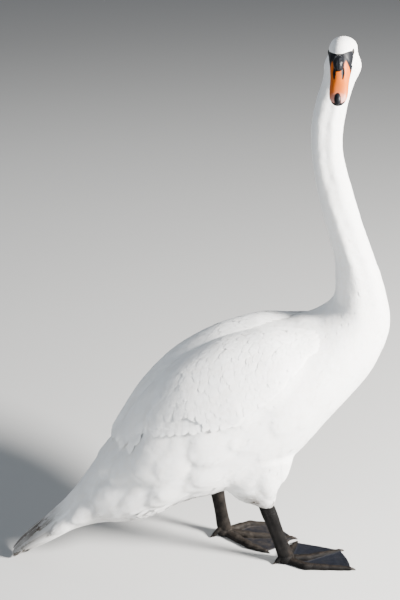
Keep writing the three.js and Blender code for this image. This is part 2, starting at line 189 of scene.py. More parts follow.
def between(rows, t):
    """A smooth run through rows of numbers, at the row numbers t."""
    rows = np.asarray(rows, float)
    t = np.atleast_1d(np.asarray(t, float))
    last = len(rows) - 1
    i = np.clip(np.floor(t).astype(int), 0, last - 1)
    f = (t - i)[:, None]
    a, b, c, d = (rows[np.clip(i + k, 0, last)] for k in (-1, 0, 1, 2))
    leave, arrive, climb = (c - a) / 2, (d - b) / 2, c - b
    return b + f * (leave + f * (3 * climb - 2 * leave - arrive + f * (leave + arrive - 2 * climb)))


def steps(x, xs, ys):
    """Straight lines through (xs, ys), for one column or several."""
    ys = np.asarray(ys, float)
    if ys.ndim == 1:
        return np.interp(x, xs, ys)
    return np.stack([np.interp(x, xs, column) for column in ys.T], -1)


def ease(x, low, high):
    """0 below low, 1 above high, smooth between them."""
    s = np.clip((np.asarray(x, float) - low) / (high - low), 0, 1)
    return s * s * (3 - 2 * s)


def bell(x, middle, width):
    """1 at the middle, fading to nothing at about twice the width."""
    return np.exp(-((x - middle) / width) ** 2)


def length_of(v):
    return np.linalg.norm(v, axis=-1)


def unit(v):
    return v / np.maximum(np.linalg.norm(v, axis=-1, keepdims=True), 1e-9)


def turned(degrees, axis):
    return np.array(Matrix.Rotation(math.radians(degrees), 3, axis))


def ring(count):
    """Angles of places evenly round a circle (radians)."""
    return np.radians(np.arange(count) * 360 / count)


def grid(rows, columns):
    """Two lists of values as two tables, one along the rows and one along the columns."""
    return np.meshgrid(rows, columns, indexing="ij")


def flattened(*values):
    """The shape that the values share, then each of them as a list of that many numbers."""
    values = np.broadcast_arrays(*(np.asarray(v, float) for v in values))
    return values[0].shape, *(v.ravel() for v in values)


def waves(p, size, seed, count=14):
    """Smooth noise of about -1 to 1 at points p: a sum of plane waves, size mm from crest to crest."""
    own = np.random.default_rng(seed)
    total = np.zeros(len(p))
    for _ in range(count):
        direction = unit(own.normal(size=3))
        pace = 2 * math.pi / (size * own.uniform(0.75, 1.5))
        total += np.sin(p @ direction * pace + own.uniform(0, 6.28))
    return total / math.sqrt(count) * 0.8


def tree_of(points, numbers):
    """The points of these numbers, ready to look up by place."""
    tree = KDTree(len(numbers))
    for i in numbers:
        tree.insert(points[i], int(i))
    tree.balance()
    return tree


HEAD_AXES = turned(HEAD_TURN["heading"], "Z") @ turned(HEAD_TURN["down"], "Y")
HEAD_AXES = HEAD_AXES @ turned(HEAD_TURN["roll"], "X")


def from_head(p):
    return np.asarray(p, float) @ HEAD_AXES.T + HEAD_EYES


def to_head(p):
    return (np.asarray(p, float) - HEAD_EYES) @ HEAD_AXES


# ---- meshes


def linked(name, data):
    obj = bpy.data.objects.new(name, data)
    bpy.context.scene.collection.objects.link(obj)
    return obj


def new_object(name, points, loops, starts):
    """A mesh object from points and faces, given as corner indices and where each face starts."""
    mesh = bpy.data.meshes.new(name)
    mesh.vertices.add(len(points))
    mesh.vertices.foreach_set("co", ((points + SHIFT) / 1000).astype(np.float32).ravel())
    mesh.loops.add(len(loops))
    mesh.loops.foreach_set("vertex_index", loops.astype(np.int32))
    mesh.polygons.add(len(starts))
    mesh.polygons.foreach_set("loop_start", starts.astype(np.int32))
    mesh.update(calc_edges=True)
    mesh.polygons.foreach_set("use_smooth", np.ones(len(starts), bool))
    return linked(name, mesh)


def starts_of(faces):
    """How many corners each face has, and at which corner it starts."""
    lengths = np.array([len(f) for f in faces])
    return lengths, np.concatenate([[0], np.cumsum(lengths)[:-1]])


def faces_object(name, points, faces):
    """As new_object, for faces given as a list of index tuples."""
    loops = np.concatenate([np.asarray(f) for f in faces])
    return new_object(name, np.asarray(points, float), loops, starts_of(faces)[1])


def tube_faces(rings, around):
    """Faces of rings of points joined one to the next, its ends closed by one face each."""
    faces = []
    for r in range(rings - 1):
        for k in range(around):
            a, b = r * around + k, r * around + (k + 1) % around
            faces.append((a, b, b + around, a + around))
    faces.append(tuple(range(around))[::-1])
    faces.append(tuple(range((rings - 1) * around, rings * around)))
    return faces


def tube(rings):
    """Points and faces of rings (rings, around, 3)."""
    return rings.reshape(-1, 3), tube_faces(*rings.shape[:2])


def floats_of(items, name):
    """A vector per vertex, read as (count, 3)."""
    values = np.empty(len(items) * 3, np.float32)
    items.foreach_get(name, values)
    return values.reshape(-1, 3).astype(float)


def co_of(obj):
    """The points of an object's mesh in the bird's own axes (mm)."""
    return floats_of(obj.data.vertices, "co") * 1000 - SHIFT


def normals_of(obj):
    return floats_of(obj.data.vertex_normals, "vector")


def set_co(obj, points):
    obj.data.vertices.foreach_set("co", ((points + SHIFT) / 1000).astype(np.float32).ravel())
    obj.data.update()


def mark(obj, **marks):
    """Writes numbers per vertex for the materials."""
    for name, values in marks.items():
        layer = obj.data.attributes.new(name, "FLOAT", "POINT")
        layer.data.foreach_set("value", np.asarray(values, np.float32))


def smoothed(obj, values, times, weight=1.0):
    """Values per vertex, averaged with their neighbours a number of times."""
    e = np.empty(len(obj.data.edges) * 2, np.int32)
    obj.data.edges.foreach_get("vertices", e)
    one, other = e.reshape(-1, 2).T
    count = np.bincount(e, minlength=len(values)).astype(float)[:, None]
    values = values.copy() if values.ndim > 1 else values[:, None].copy()
    for _ in range(times):
        total = np.zeros_like(values)
        for k in range(values.shape[1]):
            total[:, k] = np.bincount(one, values[other, k], len(values))
            total[:, k] += np.bincount(other, values[one, k], len(values))
        values += (total / np.maximum(count, 1) - values) * 0.5 * weight
    return values


def edit(obj, change):
    """Changes obj's mesh by a function of its bmesh."""
    bm = bmesh.new()
    bm.from_mesh(obj.data)
    change(bm)
    bm.to_mesh(obj.data)
    bm.free()


def fused(name, shapes, voxel):
    """One closed mesh of overlapping shapes, each given as points and faces, by a remesh of voxel mm."""
    faces, base = [], 0
    for p, shape_faces in shapes:
        faces += [tuple(i + base for i in face) for face in shape_faces]
        base += len(p)
    obj = faces_object(name, np.concatenate([p for p, _ in shapes]), faces)
    edit(obj, lambda bm: bmesh.ops.recalc_face_normals(bm, faces=bm.faces))
    modifier = obj.modifiers.new("remesh", "REMESH")
    modifier.mode = "VOXEL"
    modifier.voxel_size = voxel / 1000
    modifier.use_smooth_shade = True
    bpy.context.view_layer.update()
    made = bpy.data.meshes.new_from_object(obj.evaluated_get(bpy.context.evaluated_depsgraph_get()))
    obj.modifiers.clear()
    obj.data = made
    return obj


def finish(obj, material, slot, *nodes):
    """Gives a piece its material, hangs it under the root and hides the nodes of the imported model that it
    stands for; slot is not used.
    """
    obj.data.materials.clear()
    obj.data.materials.append(material)
    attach(obj, "root")
    if nodes:
        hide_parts(*nodes)


# ---- the bird's surface as formulas


def body_rows():
    """By rib number: centre, upward direction, half depth, half width, how far the top draws in."""
    rows = []
    for tx, tz, bx, bz, half, egg in TRUNK_RIBS:
        up = np.array([tx - bx, 0, tz - bz], float)
        depth = np.linalg.norm(up) / 2
        rows.append([(tx + bx) / 2, 0, (tz + bz) / 2, *(up / (2 * depth)), depth, half, egg])
    for x, y, z, depth, half, tip in NECK_RIBS:
        a = math.radians(tip)
        rows.append([x, y, z, -math.cos(a), 0, math.sin(a), depth, half, 0])
    return np.array(rows)


BODY_ROWS = body_rows()
LAST_RIB = len(BODY_ROWS) - 1
RIB_STEP = 0.02  # the step, in rib numbers, over which directions are taken


def body_point(t, degrees, grow=0.0):
    """Points of the body's outline: rib number, angle (0 the left side, 90 the back), and how far outside."""
    shape, t, degrees, grow = flattened(t, degrees, grow)
    row = between(BODY_ROWS, t)
    ahead = between(BODY_ROWS, np.minimum(t + RIB_STEP, LAST_RIB))[:, :3]
    behind = between(BODY_ROWS, np.maximum(t - RIB_STEP, 0))[:, :3]
    along = unit(ahead - behind)
    up = unit(row[:, 3:6])
    side = unit(np.cross(up, along))
    c, s = np.cos(np.radians(degrees)), np.sin(np.radians(degrees))
    depth, half, egg = row[:, 6:].T
    rise, reach = (depth + grow) * s, (half + grow) * c * (1 - egg * s)
    return (row[:, :3] + up * rise[:, None] + side * reach[:, None]).reshape(*shape, 3)


def wing_edges(t):
    """Angle of the folded wing's upper edge and of its lower edge, and its thickness, by rib number."""
    return [np.interp(t, WING_STATIONS[:, 0], column) for column in WING_STATIONS[:, 1:].T]


def across_wing(t, angle):
    """Where between the wing's edges an angle lies: 0 at the upper one, 1 at the lower."""
    upper, lower, _ = wing_edges(t)
    return (angle - upper) / (lower - upper)


def on_wing(t, v, side):
    """Angle round the body of a place between the wing's edges."""
    upper, lower, _ = wing_edges(t)
    angle = upper + (lower - upper) * v
    return angle if side > 0 else 180 - angle


def wing_height(t, degrees, side):
    """How far the folded wing stands off the trunk."""
    v = across_wing(t, degrees if side > 0 else 180 - degrees)
    swell = np.sin(math.pi * np.clip(v, 0.5, 0.93)) ** 0.5
    swell *= ease(v, -0.2, 0.36) * (1 - 0.85 * ease(t, 10.2, 11.9))
    return wing_edges(t)[2] * swell


def head_points(ribs, at, degrees, grow=0.0, power=2.0, waist=0.5):
    """Points of a loft in the head's own axes, at rib numbers and angles (0 left, 90 up)."""
    shape, at, degrees, grow = flattened(at, degrees, grow)
    x, low, high, half = between(ribs, at).T
    angle = np.radians(degrees)
    c, s = (np.sign(v) * np.abs(v) ** (2 / power) for v in (np.cos(angle), np.sin(angle)))
    level = low + (high - low) * waist
    reach = np.where(s > 0, high - level, level - low) + grow
    return np.stack([x, (half + grow) * c, level + reach * s], -1).reshape(*shape, 3)


def leg_point(leg, share, degrees, grow=0.0):
    """Points of the feathered thigh."""
    shape, share, degrees, grow = flattened(share, degrees, grow)
    back, front, half = (np.interp(share, THIGH[:, 0], column) for column in THIGH[:, 1:].T)
    c, s = np.cos(np.radians(degrees)), np.sin(np.radians(degrees))
    centre = leg["hip"] + (leg["ankle"] - leg["hip"]) * share[:, None]
    spoke = np.stack([(np.where(c > 0, front, back) + grow) * c, (half + grow) * s, np.zeros_like(c)], -1)
    return (centre + spoke).reshape(*shape, 3)


# ---- the coat's sizes

# By rib number of the body: feather length, width, spacing, coat depth (mm).
COAT_RIBS = [0, 2, 4, 6, 9, 11, 13, 15, 18, 21, 24]
COAT_SIZES = [
    [46, 12, 6.4, 3],
    [58, 14.5, 7.2, 4],
    [62, 15.5, 7.8, 6],
    [54, 14, 7.0, 7],
    [46, 12.5, 6.2, 7],
    [36, 10.6, 5.4, 6],
    [28, 9.2, 4.7, 5],
    [19, 7.6, 4.0, 4],
    [13.5, 6.1, 3.3, 3.2],
    [10.5, 5.2, 2.8, 2.6],
    [9, 4.4, 2.3, 2],
]
# By x in the head's axes.
COAT_HEAD_X = [-57, -20, 0, 15, 27]
COAT_HEAD_SIZES = [
    [8.6, 4.6, 2.4, 2],
    [7.2, 4.0, 2.1, 1.7],
    [5.6, 3.2, 1.75, 1.4],
    [4.0, 2.4, 1.4, 1.0],
    [3.0, 1.9, 1.2, 0.7],
]
# By share of the thigh's length.
COAT_THIGH_SHARE = [0, 0.6, 1]
COAT_THIGH_SIZES = [
    [34, 15.5, 7.5, 6],
    [22, 10.5, 5.4, 5],
    [11, 6, 3.3, 2.5],
]
BODY, HEAD, THIGH_RIGHT, THIGH_LEFT = range(4)


def map_place(t, degrees):
    """Places of the body on the bake's map."""
    return np.stack([0.02 + 0.96 * t / LAST_RIB, 0.02 + 0.6 * (degrees % 360) / 360], -1)


def flow_table():
    """Samples of the outline: place, direction of the feathers, sizes, part, own coordinates, map place."""
    rows = []

    def put(p, ahead, sizes, part, own, uv):
        columns = (p, unit(ahead - p), np.broadcast_to(sizes[:, None, :], (*p.shape[:2], 4)),
                   np.full((*p.shape[:2], 1), part), np.stack(own, -1), uv)
        rows.append(np.concatenate([c.reshape(p.shape[0] * p.shape[1], -1) for c in columns], 1))

    t, a = grid(np.arange(0, LAST_RIB, 0.1), np.arange(0, 360, 5))
    p, q = body_point(t, a), body_point(np.maximum(t - 0.05, 0), a)
    q = np.where(t[..., None] < 0.06, 2 * p - body_point(t + 0.05, a), q)
    put(p, q, steps(t[:, 0], COAT_RIBS, COAT_SIZES), BODY, (t, a), map_place(t, a))

    last = len(HEAD_RIBS) - 1
    h, a = grid(np.arange(0, last, 0.15), np.arange(0, 360, 6))
    local, back = head_points(HEAD_RIBS, h, a), head_points(HEAD_RIBS, h - 0.05, a)
    put(from_head(local), from_head(back), steps(local[:, 0, 0], COAT_HEAD_X, COAT_HEAD_SIZES), HEAD, (h, a),
        np.stack([0.02 + 0.4 * h / last, 0.66 + 0.3 * a / 360], -1))

    for part, side, left in ((THIGH_RIGHT, "right", 0.46), (THIGH_LEFT, "left", 0.72)):
        leg = LEGS[side]
        s, a = grid(np.linspace(0, 1, 30), np.arange(0, 360, 7.5))
        p = leg_point(leg, s, a)
        q = p + unit(leg["ankle"] - leg["hip"]) + np.array([-0.35, 0, 0]) * (1 - s[..., None] * 0.6)
        put(p, q, steps(s[:, 0], COAT_THIGH_SHARE, COAT_THIGH_SIZES), part, (s, a),
            np.stack([left + 0.24 * s, 0.66 + 0.3 * a / 360], -1))
    return np.concatenate(rows)


FLOW = flow_table()
FLOW_TREE = tree_of(FLOW[:, :3], range(len(FLOW)))


def coat_at(points, near=6):
    """Flow direction, sizes, part, own coordinates and map place at points, from the nearest samples."""
    found = np.array([[(n, d) for _, n, d in FLOW_TREE.find_n(p, near)] for p in points])
    index = found[..., 0].astype(int)
    share = 1 / (found[..., 1] + 1.5) ** 2
    share /= share.sum(1, keepdims=True)
    mixed = (FLOW[index][..., 3:10] * share[..., None]).sum(1)
    first = FLOW[index[:, 0]]
    return unit(mixed[:, :3]), mixed[:, 3:7], first[:, 10].astype(int), first[:, 11:13], first[:, 13:15]


# ---- the skin

# Edges of the bare black skin in the head's axes: the upper one, x and z from eye to forehead, and the lower
# one, x and how far below the eyes, from the eye to the corner of the mouth.
LORE_TOP = ((3.5, 8, 13.6, 17.8, 20.8, 25), (5.5, 9.7, 13.2, 15.4, 16.6, 17.6))
LORE_LOW = ((6, 23), (2, 24))
LORE_SOFT = 0.6  # half width of the edge
FACE_REACH = 70  # places nearer to the eyes than this belong to the face
SKIN_VOXEL, LEG_VOXEL = 3.5, 0.95
UNDER = {"body": 0.8, "head": 0.4, "wing": 14}  # how far the guide lies inside the formulas


def near_eyes(points, reach=FACE_REACH):
    return length_of(points - HEAD_EYES) < reach


def bare_face(local):
    """1 on the bare black skin between eye and bill, 0 on feathered skin, at points in the head's axes."""
    x, z = local[:, 0], local[:, 2]
    edge = np.where(z > 1, np.interp(z, LORE_TOP[1], LORE_TOP[0]), np.interp(-z, LORE_LOW[1], LORE_LOW[0]))
    return ease(x - edge, -LORE_SOFT, LORE_SOFT) * (length_of(local - [15, 0, -5]) < 45)


def make_guide():
    """The outline of the plumage with the folded wings, as one closed mesh."""
    around = np.arange(0, 360, 3.75)
    shapes = [tube(body_point(*grid(np.linspace(0, LAST_RIB, 170), around), -UNDER["body"]))]
    h, a = grid(np.linspace(0, len(HEAD_RIBS) - 1, 50), around)
    shapes.append(tube(from_head(head_points(HEAD_RIBS, h, a, -UNDER["head"]))))
    for leg in LEGS.values():
        shapes.append(tube(leg_point(leg, *grid(np.linspace(0, 1, 30), around), -UNDER["body"])))
    for sign in (1, -1):
        rings = []
        for rib in np.linspace(WING_STATIONS[0, 0] + 0.15, WING_STATIONS[-1, 0], 44):
            angle = on_wing(rib, np.linspace(-0.2, 0.99, 26), sign)
            t = np.full(len(angle), rib)
            over = body_point(t, angle, np.maximum(wing_height(t, angle, sign) - WING_COAT, -4))
            rings.append(np.concatenate([over, body_point(t, angle, -UNDER["wing"])[::-1]]))
        shapes.append(tube(np.array(rings)))
    return fused("skin", shapes, SKIN_VOXEL)


def refine_face(obj):
    """Finer faces round the eyes and the base of the bill."""
    centre = Vector((from_head([[12, 0, -2]])[0] + SHIFT) / 1000)
    for reach in (40, 27):
        def finer(bm):
            chosen = [e for e in bm.edges if all((v.co - centre).length < reach / 1000 for v in e.verts)]
            bmesh.ops.subdivide_edges(bm, edges=chosen, cuts=1, use_grid_fill=True)
            bmesh.ops.triangulate(bm, faces=[f for f in bm.faces if len(f.verts) > 4])
        edit(obj, finer)


skin = make_guide()
co = co_of(skin)
give = 1 - 0.85 * ease(to_head(co)[:, 0], -30, 0) * near_eyes(co, 60)
set_co(skin, smoothed(skin, co, 8, give[:, None]))
refine_face(skin)

# ---- lumps: the coat lies in soft clumps

CLUMPS = {"size": 98, "height": 10.5, "spacing": 52, "edge": 0.1}
CLUMP_STRENGTH = ([0, 1.5, 3, 6, 8, 9.5, 11.5, 13], [0, 0.1, 0.12, 0.2, 0.28, 0.3, 0.15, 0])  # by rib number
THIGH_STRENGTH = 0.55
# Tufts on rump and flank, alike on both sides: rib number and angle of the tip, length, width, height.
TUFTS = [
    (4.05, 164, 92, 56, 6.8),
    (6.0, 162, 170, 120, 9.5),
    (4.0, 186, 104, 56, 6.6),
    (4.7, 121, 70, 38, 5),
    (6.1, 204, 122, 68, 7),
    (3.0, 171, 86, 48, 5),
    (5.1, 145, 98, 56, 6.6),
    (5.0, 192, 104, 60, 6),
    (2.1, 166, 70, 36, 3),
    (7.6, 176, 120, 84, 5.5),
    (7.2, 206, 110, 70, 5),
]
TUFT_LEVEL = 2.2  # how far the ground between the tufts lies under the plain outline
MEAN_CLUMP = 0.45  # the height of a clump that counts as the plain outline
# Roughness of the plumage: length of the long and the short waves, the share of the short ones and how much
# more of them the neck has, then the strength of it all by rib number.
ROUGH = {"long": 60, "short": 22, "share": 0.25, "on_neck": 0.35}
ROUGH_RIBS = ([0, 9, 12, 16, 24], [1, 0.5, 0.5, 0.7, 0.4])
FURROW = 1.0  # height of the faint furrows along the neck
SUNK = 0.6  # how far the guide lies under the outline, other than on the head
HIDDEN_TO = 0.84  # no body feathers grow between a folded wing's upper edge and this share of its width


def hidden_by_wing(part, own):
    """True for roots under a folded wing."""
    t, degrees = own[:, 0], own[:, 1] % 360
    hidden = np.zeros(len(t), bool)
    for side in (1, -1):
        angle = degrees if side > 0 else 180 - degrees
        angle = np.where(angle < -180, angle + 360, angle)
        v = across_wing(t, angle) + 0.12 * ease(t, 8.3, 9.1)
        ribs = (t > WING_STATIONS[0, 0] + 0.35) & (t < WING_STATIONS[-1, 0] - 0.35)
        hidden |= ribs & (v > 0) & (v < HIDDEN_TO) & (angle > -20)
    return hidden & (part == BODY)


def split(rel, d):
    """How far rel reaches along d, and how far it lies beside it."""
    along = rel @ d
    return along, length_of(rel - along[:, None] * d)


def dome(w, half):
    return np.sqrt(np.clip(1 - (w / np.maximum(half, 1e-3)) ** 2, 0, 1))


def clump_heights(points, direction, part, own):
    """How high random clumps raise the coat at points."""
    strength = np.interp(own[:, 0], *CLUMP_STRENGTH) * (part == BODY)
    strength = np.where(part >= THIGH_RIGHT, THIGH_STRENGTH * (1 - ease(own[:, 0], 0.5, 1)), strength)
    live = np.nonzero(strength > 0.05)[0]
    order = np.random.default_rng(7).permutation(live)
    tree = tree_of(points, live)
    free = np.zeros(len(points), bool)
    free[live] = True
    height = np.zeros(len(points))
    own_rng = np.random.default_rng(8)
    for i in order:
        if not free[i]:
            continue
        size = CLUMPS["size"] * own_rng.uniform(0.75, 1.25)
        near = np.array([n for _, n, _ in tree.find_range(points[i], size * 0.8)])
        rel = points[near] - points[i]
        free[near[length_of(rel) < CLUMPS["spacing"]]] = False
        u, w = split(rel, unit(direction[i] + own_rng.normal(size=3) * 0.18))
        u = u / size + 0.5
        half = 0.36 * size * np.sqrt(np.clip(1 - ((u - 0.45) / 0.55) ** 2, 0, 1))
        clump = dome(w, half) * ease(half, 0, CLUMPS["edge"] * size)
        height[near] = np.maximum(height[near], clump * np.clip(u, 0, 1) ** 0.8 * own_rng.uniform(0.7, 1.1))
    return (height - MEAN_CLUMP) * strength * CLUMPS["height"]


def tuft_heights(points, part, own):
    """How high the placed tufts raise the coat at points, and how low the ground between them lies."""
    tufts = np.zeros(len(points))
    for rib, degrees, length, width, rise in TUFTS:
        for angle in (degrees, 180 - degrees):
            d = unit(body_point(rib - 0.3, angle) - body_point(rib + 0.3, angle))
            u, w = split(points - body_point(rib, angle), d)
            u = 1 + u / length
            half = width / 2 * np.sqrt(np.clip(1 - (np.maximum(u - 0.6, 0) / 0.4) ** 2, 0, 1))
            tuft = dome(w, half * ease(u, -0.2, 0.5)) * ease(u, -0.1, 0.75) * (u < 1)
            tufts = np.maximum(tufts, tuft * rise)
    level = TUFT_LEVEL * ease(own[:, 0], 1.2, 3.2) * ease(-own[:, 0], -8.5, -6.5) * (part == BODY)
    return tufts * (part == BODY), level


co = co_of(skin)
flow, sizes, part, own, place = coat_at(co)
raised, level = tuft_heights(co, part, own)
lift = smoothed(skin, clump_heights(co, flow, part, own) + raised - level, 2)[:, 0]
rib = own[:, 0]
below_head = 1 - ease(rib, 21.5, 23)
on_long_neck = ease(rib, 13.5, 15.5) * below_head * (part == BODY)
short_share = ROUGH["share"] + ROUGH["on_neck"] * on_long_neck
rough = waves(co, ROUGH["long"], 1) + waves(co, ROUGH["short"], 2) * short_share
rough *= steps(rib, *ROUGH_RIBS) * (part != HEAD)
around = np.radians(own[:, 1])
furrows = waves(np.stack([np.cos(around), np.sin(around), rib * 0.16], -1), 0.75, 3)
rough += FURROW * furrows * ease(rib, 12.5, 15) * below_head * (part == BODY)
co = co + normals_of(skin) * (lift + rough - SUNK * (part != HEAD))[:, None]
co[:, 2] = np.maximum(co[:, 2], 0.4)
set_co(skin, co)

# ---- the guide as a surface to lay vanes on


class Ground:
    """The outline mesh: nearest places and smooth normals."""

    def __init__(self, obj):
        self.points = co_of(obj)
        self.normals = normals_of(obj)
        polygons = [tuple(p.vertices) for p in obj.data.polygons]
        self.corners = np.array([(p + (p[-1],))[:4] for p in polygons])
        self.tree = BVHTree.FromPolygons([tuple(p) for p in self.points], polygons)

    def nearest(self, points):
        found = [self.tree.find_nearest(p) for p in points]
        place = np.array([f[0] for f in found])
        corner = self.corners[[f[2] for f in found]]
        share = 1 / (length_of(self.points[corner] - place[:, None]) ** 2 + 0.3)
        return place, unit((self.normals[corner] * share[..., None]).sum(1))


ground = Ground(skin)


def thinned(points, spacing, seed):
    """Numbers of points that keep their spacing from one another."""
    tree = tree_of(points, range(len(points)))
    free = np.ones(len(points), bool)
    kept = []
    for i in np.random.default_rng(seed).permutation(len(points)):
        if free[i]:
            kept.append(i)
            free[[n for _, n, _ in tree.find_range(points[i], spacing[i])]] = False
    return np.array(kept)


# ---- vanes

PATCH = 0.003  # size of one vane on the bake's map
SOFT = 0.6  # share of the ground's own direction in how a vane takes the light
TIP_DIP = 0.07  # how far a tip sinks back into the coat, of the coat's depth
ROOT_DIP = 0.85  # and how far its root does
GROUND_CAMBER = 0.014  # arch of a body vane, of its width
GROUND_ROOT, SHEET_ROOT = 0.45, 0.5  # width of a vane's root, of its full width
TIP_WIDTH = 0.14  # and of its tip
PIECE_LIMIT = 195_000  # triangles


def vane_faces(along, across, shell):
    """Faces of one closed vane: a top of along by across points and an underside, curved if shell, else flat.

    Gives the corners, where each face starts, which way each corner's face looks (1 up, -1 down), and the
    count of points and of triangles.
    """
    def top(i, j):
        return i * across + j

    def under(i, j):
        if i in (0, along - 1) or j in (0, across - 1):
            return top(i, j)
        return along * across + (i - 1) * (across - 2) + j - 1

    upper, lower = [], []
    for i in range(along - 1):
        for j in range(across - 1):
            upper.append((top(i, j), top(i + 1, j), top(i + 1, j + 1), top(i, j + 1)))
            if shell:
                lower.append((under(i, j), under(i, j + 1), under(i + 1, j + 1), under(i + 1, j)))
        if not shell:
            lower.append((top(i, 0), top(i, across - 1), top(i + 1, across - 1), top(i + 1, 0)))
    if not shell:
        upper.append(tuple(top(0, j) for j in range(across)))
        upper.append(tuple(top(along - 1, j) for j in range(across))[::-1])
    faces = upper + lower
    lengths, starts = starts_of(faces)
    looks = np.repeat(np.where(np.arange(len(faces)) < len(upper), 1.0, -1.0), lengths)
    count = along * across + ((along - 2) * (across - 2) if shell else 0)
    return np.concatenate(faces), starts, looks, count, (lengths - 2).sum()


def vane_outline(u, root, widest=0.78):
    """Half width of a vane along its length, 1 at its widest."""
    grow = root + (1 - root) * np.sin(np.clip(u / widest, 0, 1) * math.pi / 2) ** 0.8
    close = np.sqrt(np.clip(1 - (np.clip(u - widest, 0, 1) / (1 - widest)) ** 2, 0, 1))
    return grow * np.maximum(close, TIP_WIDTH)


def stations(along):
    """Where along a vane its points lie, closer together towards the tip."""
    return 1 - (1 - np.linspace(0, 1, along)) ** 1.5


def soft_normals(top, ground_normals):
    """Directions in which vanes take the light: between their own and those of the ground they lie on."""
    own = unit(np.cross(np.gradient(top, axis=1), np.gradient(top, axis=2)))
    share = SOFT * ease((own * ground_normals).sum(-1, keepdims=True), 0.3, 0.8)
    return unit(ground_normals * share + own * (1 - share))


class Coat:
    """Vanes of one kind, gathered until they are made into pieces."""

    def __init__(self, name, along, across, shell):
        self.name, self.along, self.across, self.shell = name, along, across, shell
        self.corners, self.starts, self.looks, self.count, self.triangles = vane_faces(along, across, shell)
        self.u, self.w = stations(along), np.linspace(-1, 1, across)
        self.points, self.normals, self.places = [], [], []

    def add(self, top, normal, place, thickness=0.5):
        """top and normal: (vanes, along, across, 3)."""
        n = len(top)
        soft = soft_normals(top, normal)
        points, normals = [top.reshape(n, -1, 3)], [soft.reshape(n, -1, 3)]
        if self.shell:
            drop = thickness * (1 - self.w[1:-1] ** 2)[None, None, :, None]
            inner = top[:, 1:-1, 1:-1] - normal[:, 1:-1, 1:-1] * drop
            points.append(inner.reshape(n, -1, 3))
            normals.append(soft[:, 1:-1, 1:-1].reshape(n, -1, 3))
        self.points.append(np.concatenate(points, 1))
        self.normals.append(np.concatenate(normals, 1))
        self.places.append(place)

    def own_map(self):
        """Each corner's place on one vane: across -1 to 1, along 0 to 1."""
        both = np.stack(np.meshgrid(self.w, self.u), -1)
        if self.shell:
            return np.concatenate([both.reshape(-1, 2), both[1:-1, 1:-1].reshape(-1, 2)])
        return both.reshape(-1, 2)

    def build(self):
        """Makes the pieces, each under the limit of triangles."""
        points, places, normals = (np.concatenate(rows) for rows in (self.points, self.places, self.normals))
        pieces = math.ceil(len(points) * self.triangles / PIECE_LIMIT)
        own_uv = self.own_map()
        spread = (own_uv * [0.5, 1] - [0, 0.5]) * PATCH
        order = np.argsort(points[:, 0, 2], kind="stable")
        for number, part_of in enumerate(np.array_split(order, pieces)):
            n = len(part_of)
            p = points[part_of]
            p[..., 2] = np.maximum(p[..., 2], 0.3)
            flat = p.reshape(-1, 3)
            corners = (self.corners[None] + np.arange(n)[:, None] * self.count).ravel()
            starts = (self.starts[None] + np.arange(n)[:, None] * len(self.corners)).ravel()
            obj = new_object(f"{self.name}_{number + 1}" if pieces > 1 else self.name, flat, corners, starts)
            bake = places[part_of][:, None, :] + spread[self.corners][None]
            vane = np.broadcast_to(own_uv[self.corners][None], bake.shape)
            for name, uv in (("OFBake", bake), ("Vane", vane)):
                layer = obj.data.uv_layers.new(name=name)
                layer.uv.foreach_set("vector", uv.astype(np.float32).ravel())
            obj.data.uv_layers.active = obj.data.uv_layers["OFBake"]
            facing = normals[part_of][:, self.corners] * self.looks[:, None]
            obj.data.normals_split_custom_set(facing.reshape(-1, 3))
            chance = np.repeat(rng.uniform(size=n), self.count)
            # marks of brown stain and painted shade, varied from vane to vane
            mark(obj, soil=np.clip(soil(flat) * (0.6 + 0.5 * chance), 0, 1), chance=chance)
            finish(obj, PLUMAGE, "plumage")


def soil(points):
    """0 on clean plumage to 1 on the tips of the tail and round the feet, and a little under the belly: brown
    stain mixed with painted shade.
    """
    x, _, z = points.T
    # the tail's tips: brown stain together with painted shade
    tail = ease(-x, 380, 455)
    # low round the feet: dirt together with painted shade under the body
    legs = ease(-z, -215, -150) * ease(x, -140, -60) * 0.8
    # the low belly: painted shade of the underside, with a little stain
    belly = ease(-z, -190, -110) * ease(-x, 80, 160) * (1 - ease(-x, 330, 400)) * 0.35
    patches = waves(points, 30, 5)
    return np.clip(tail * (0.95 + 0.15 * patches) + (legs + belly) * (0.75 + 0.35 * patches), 0, 1)


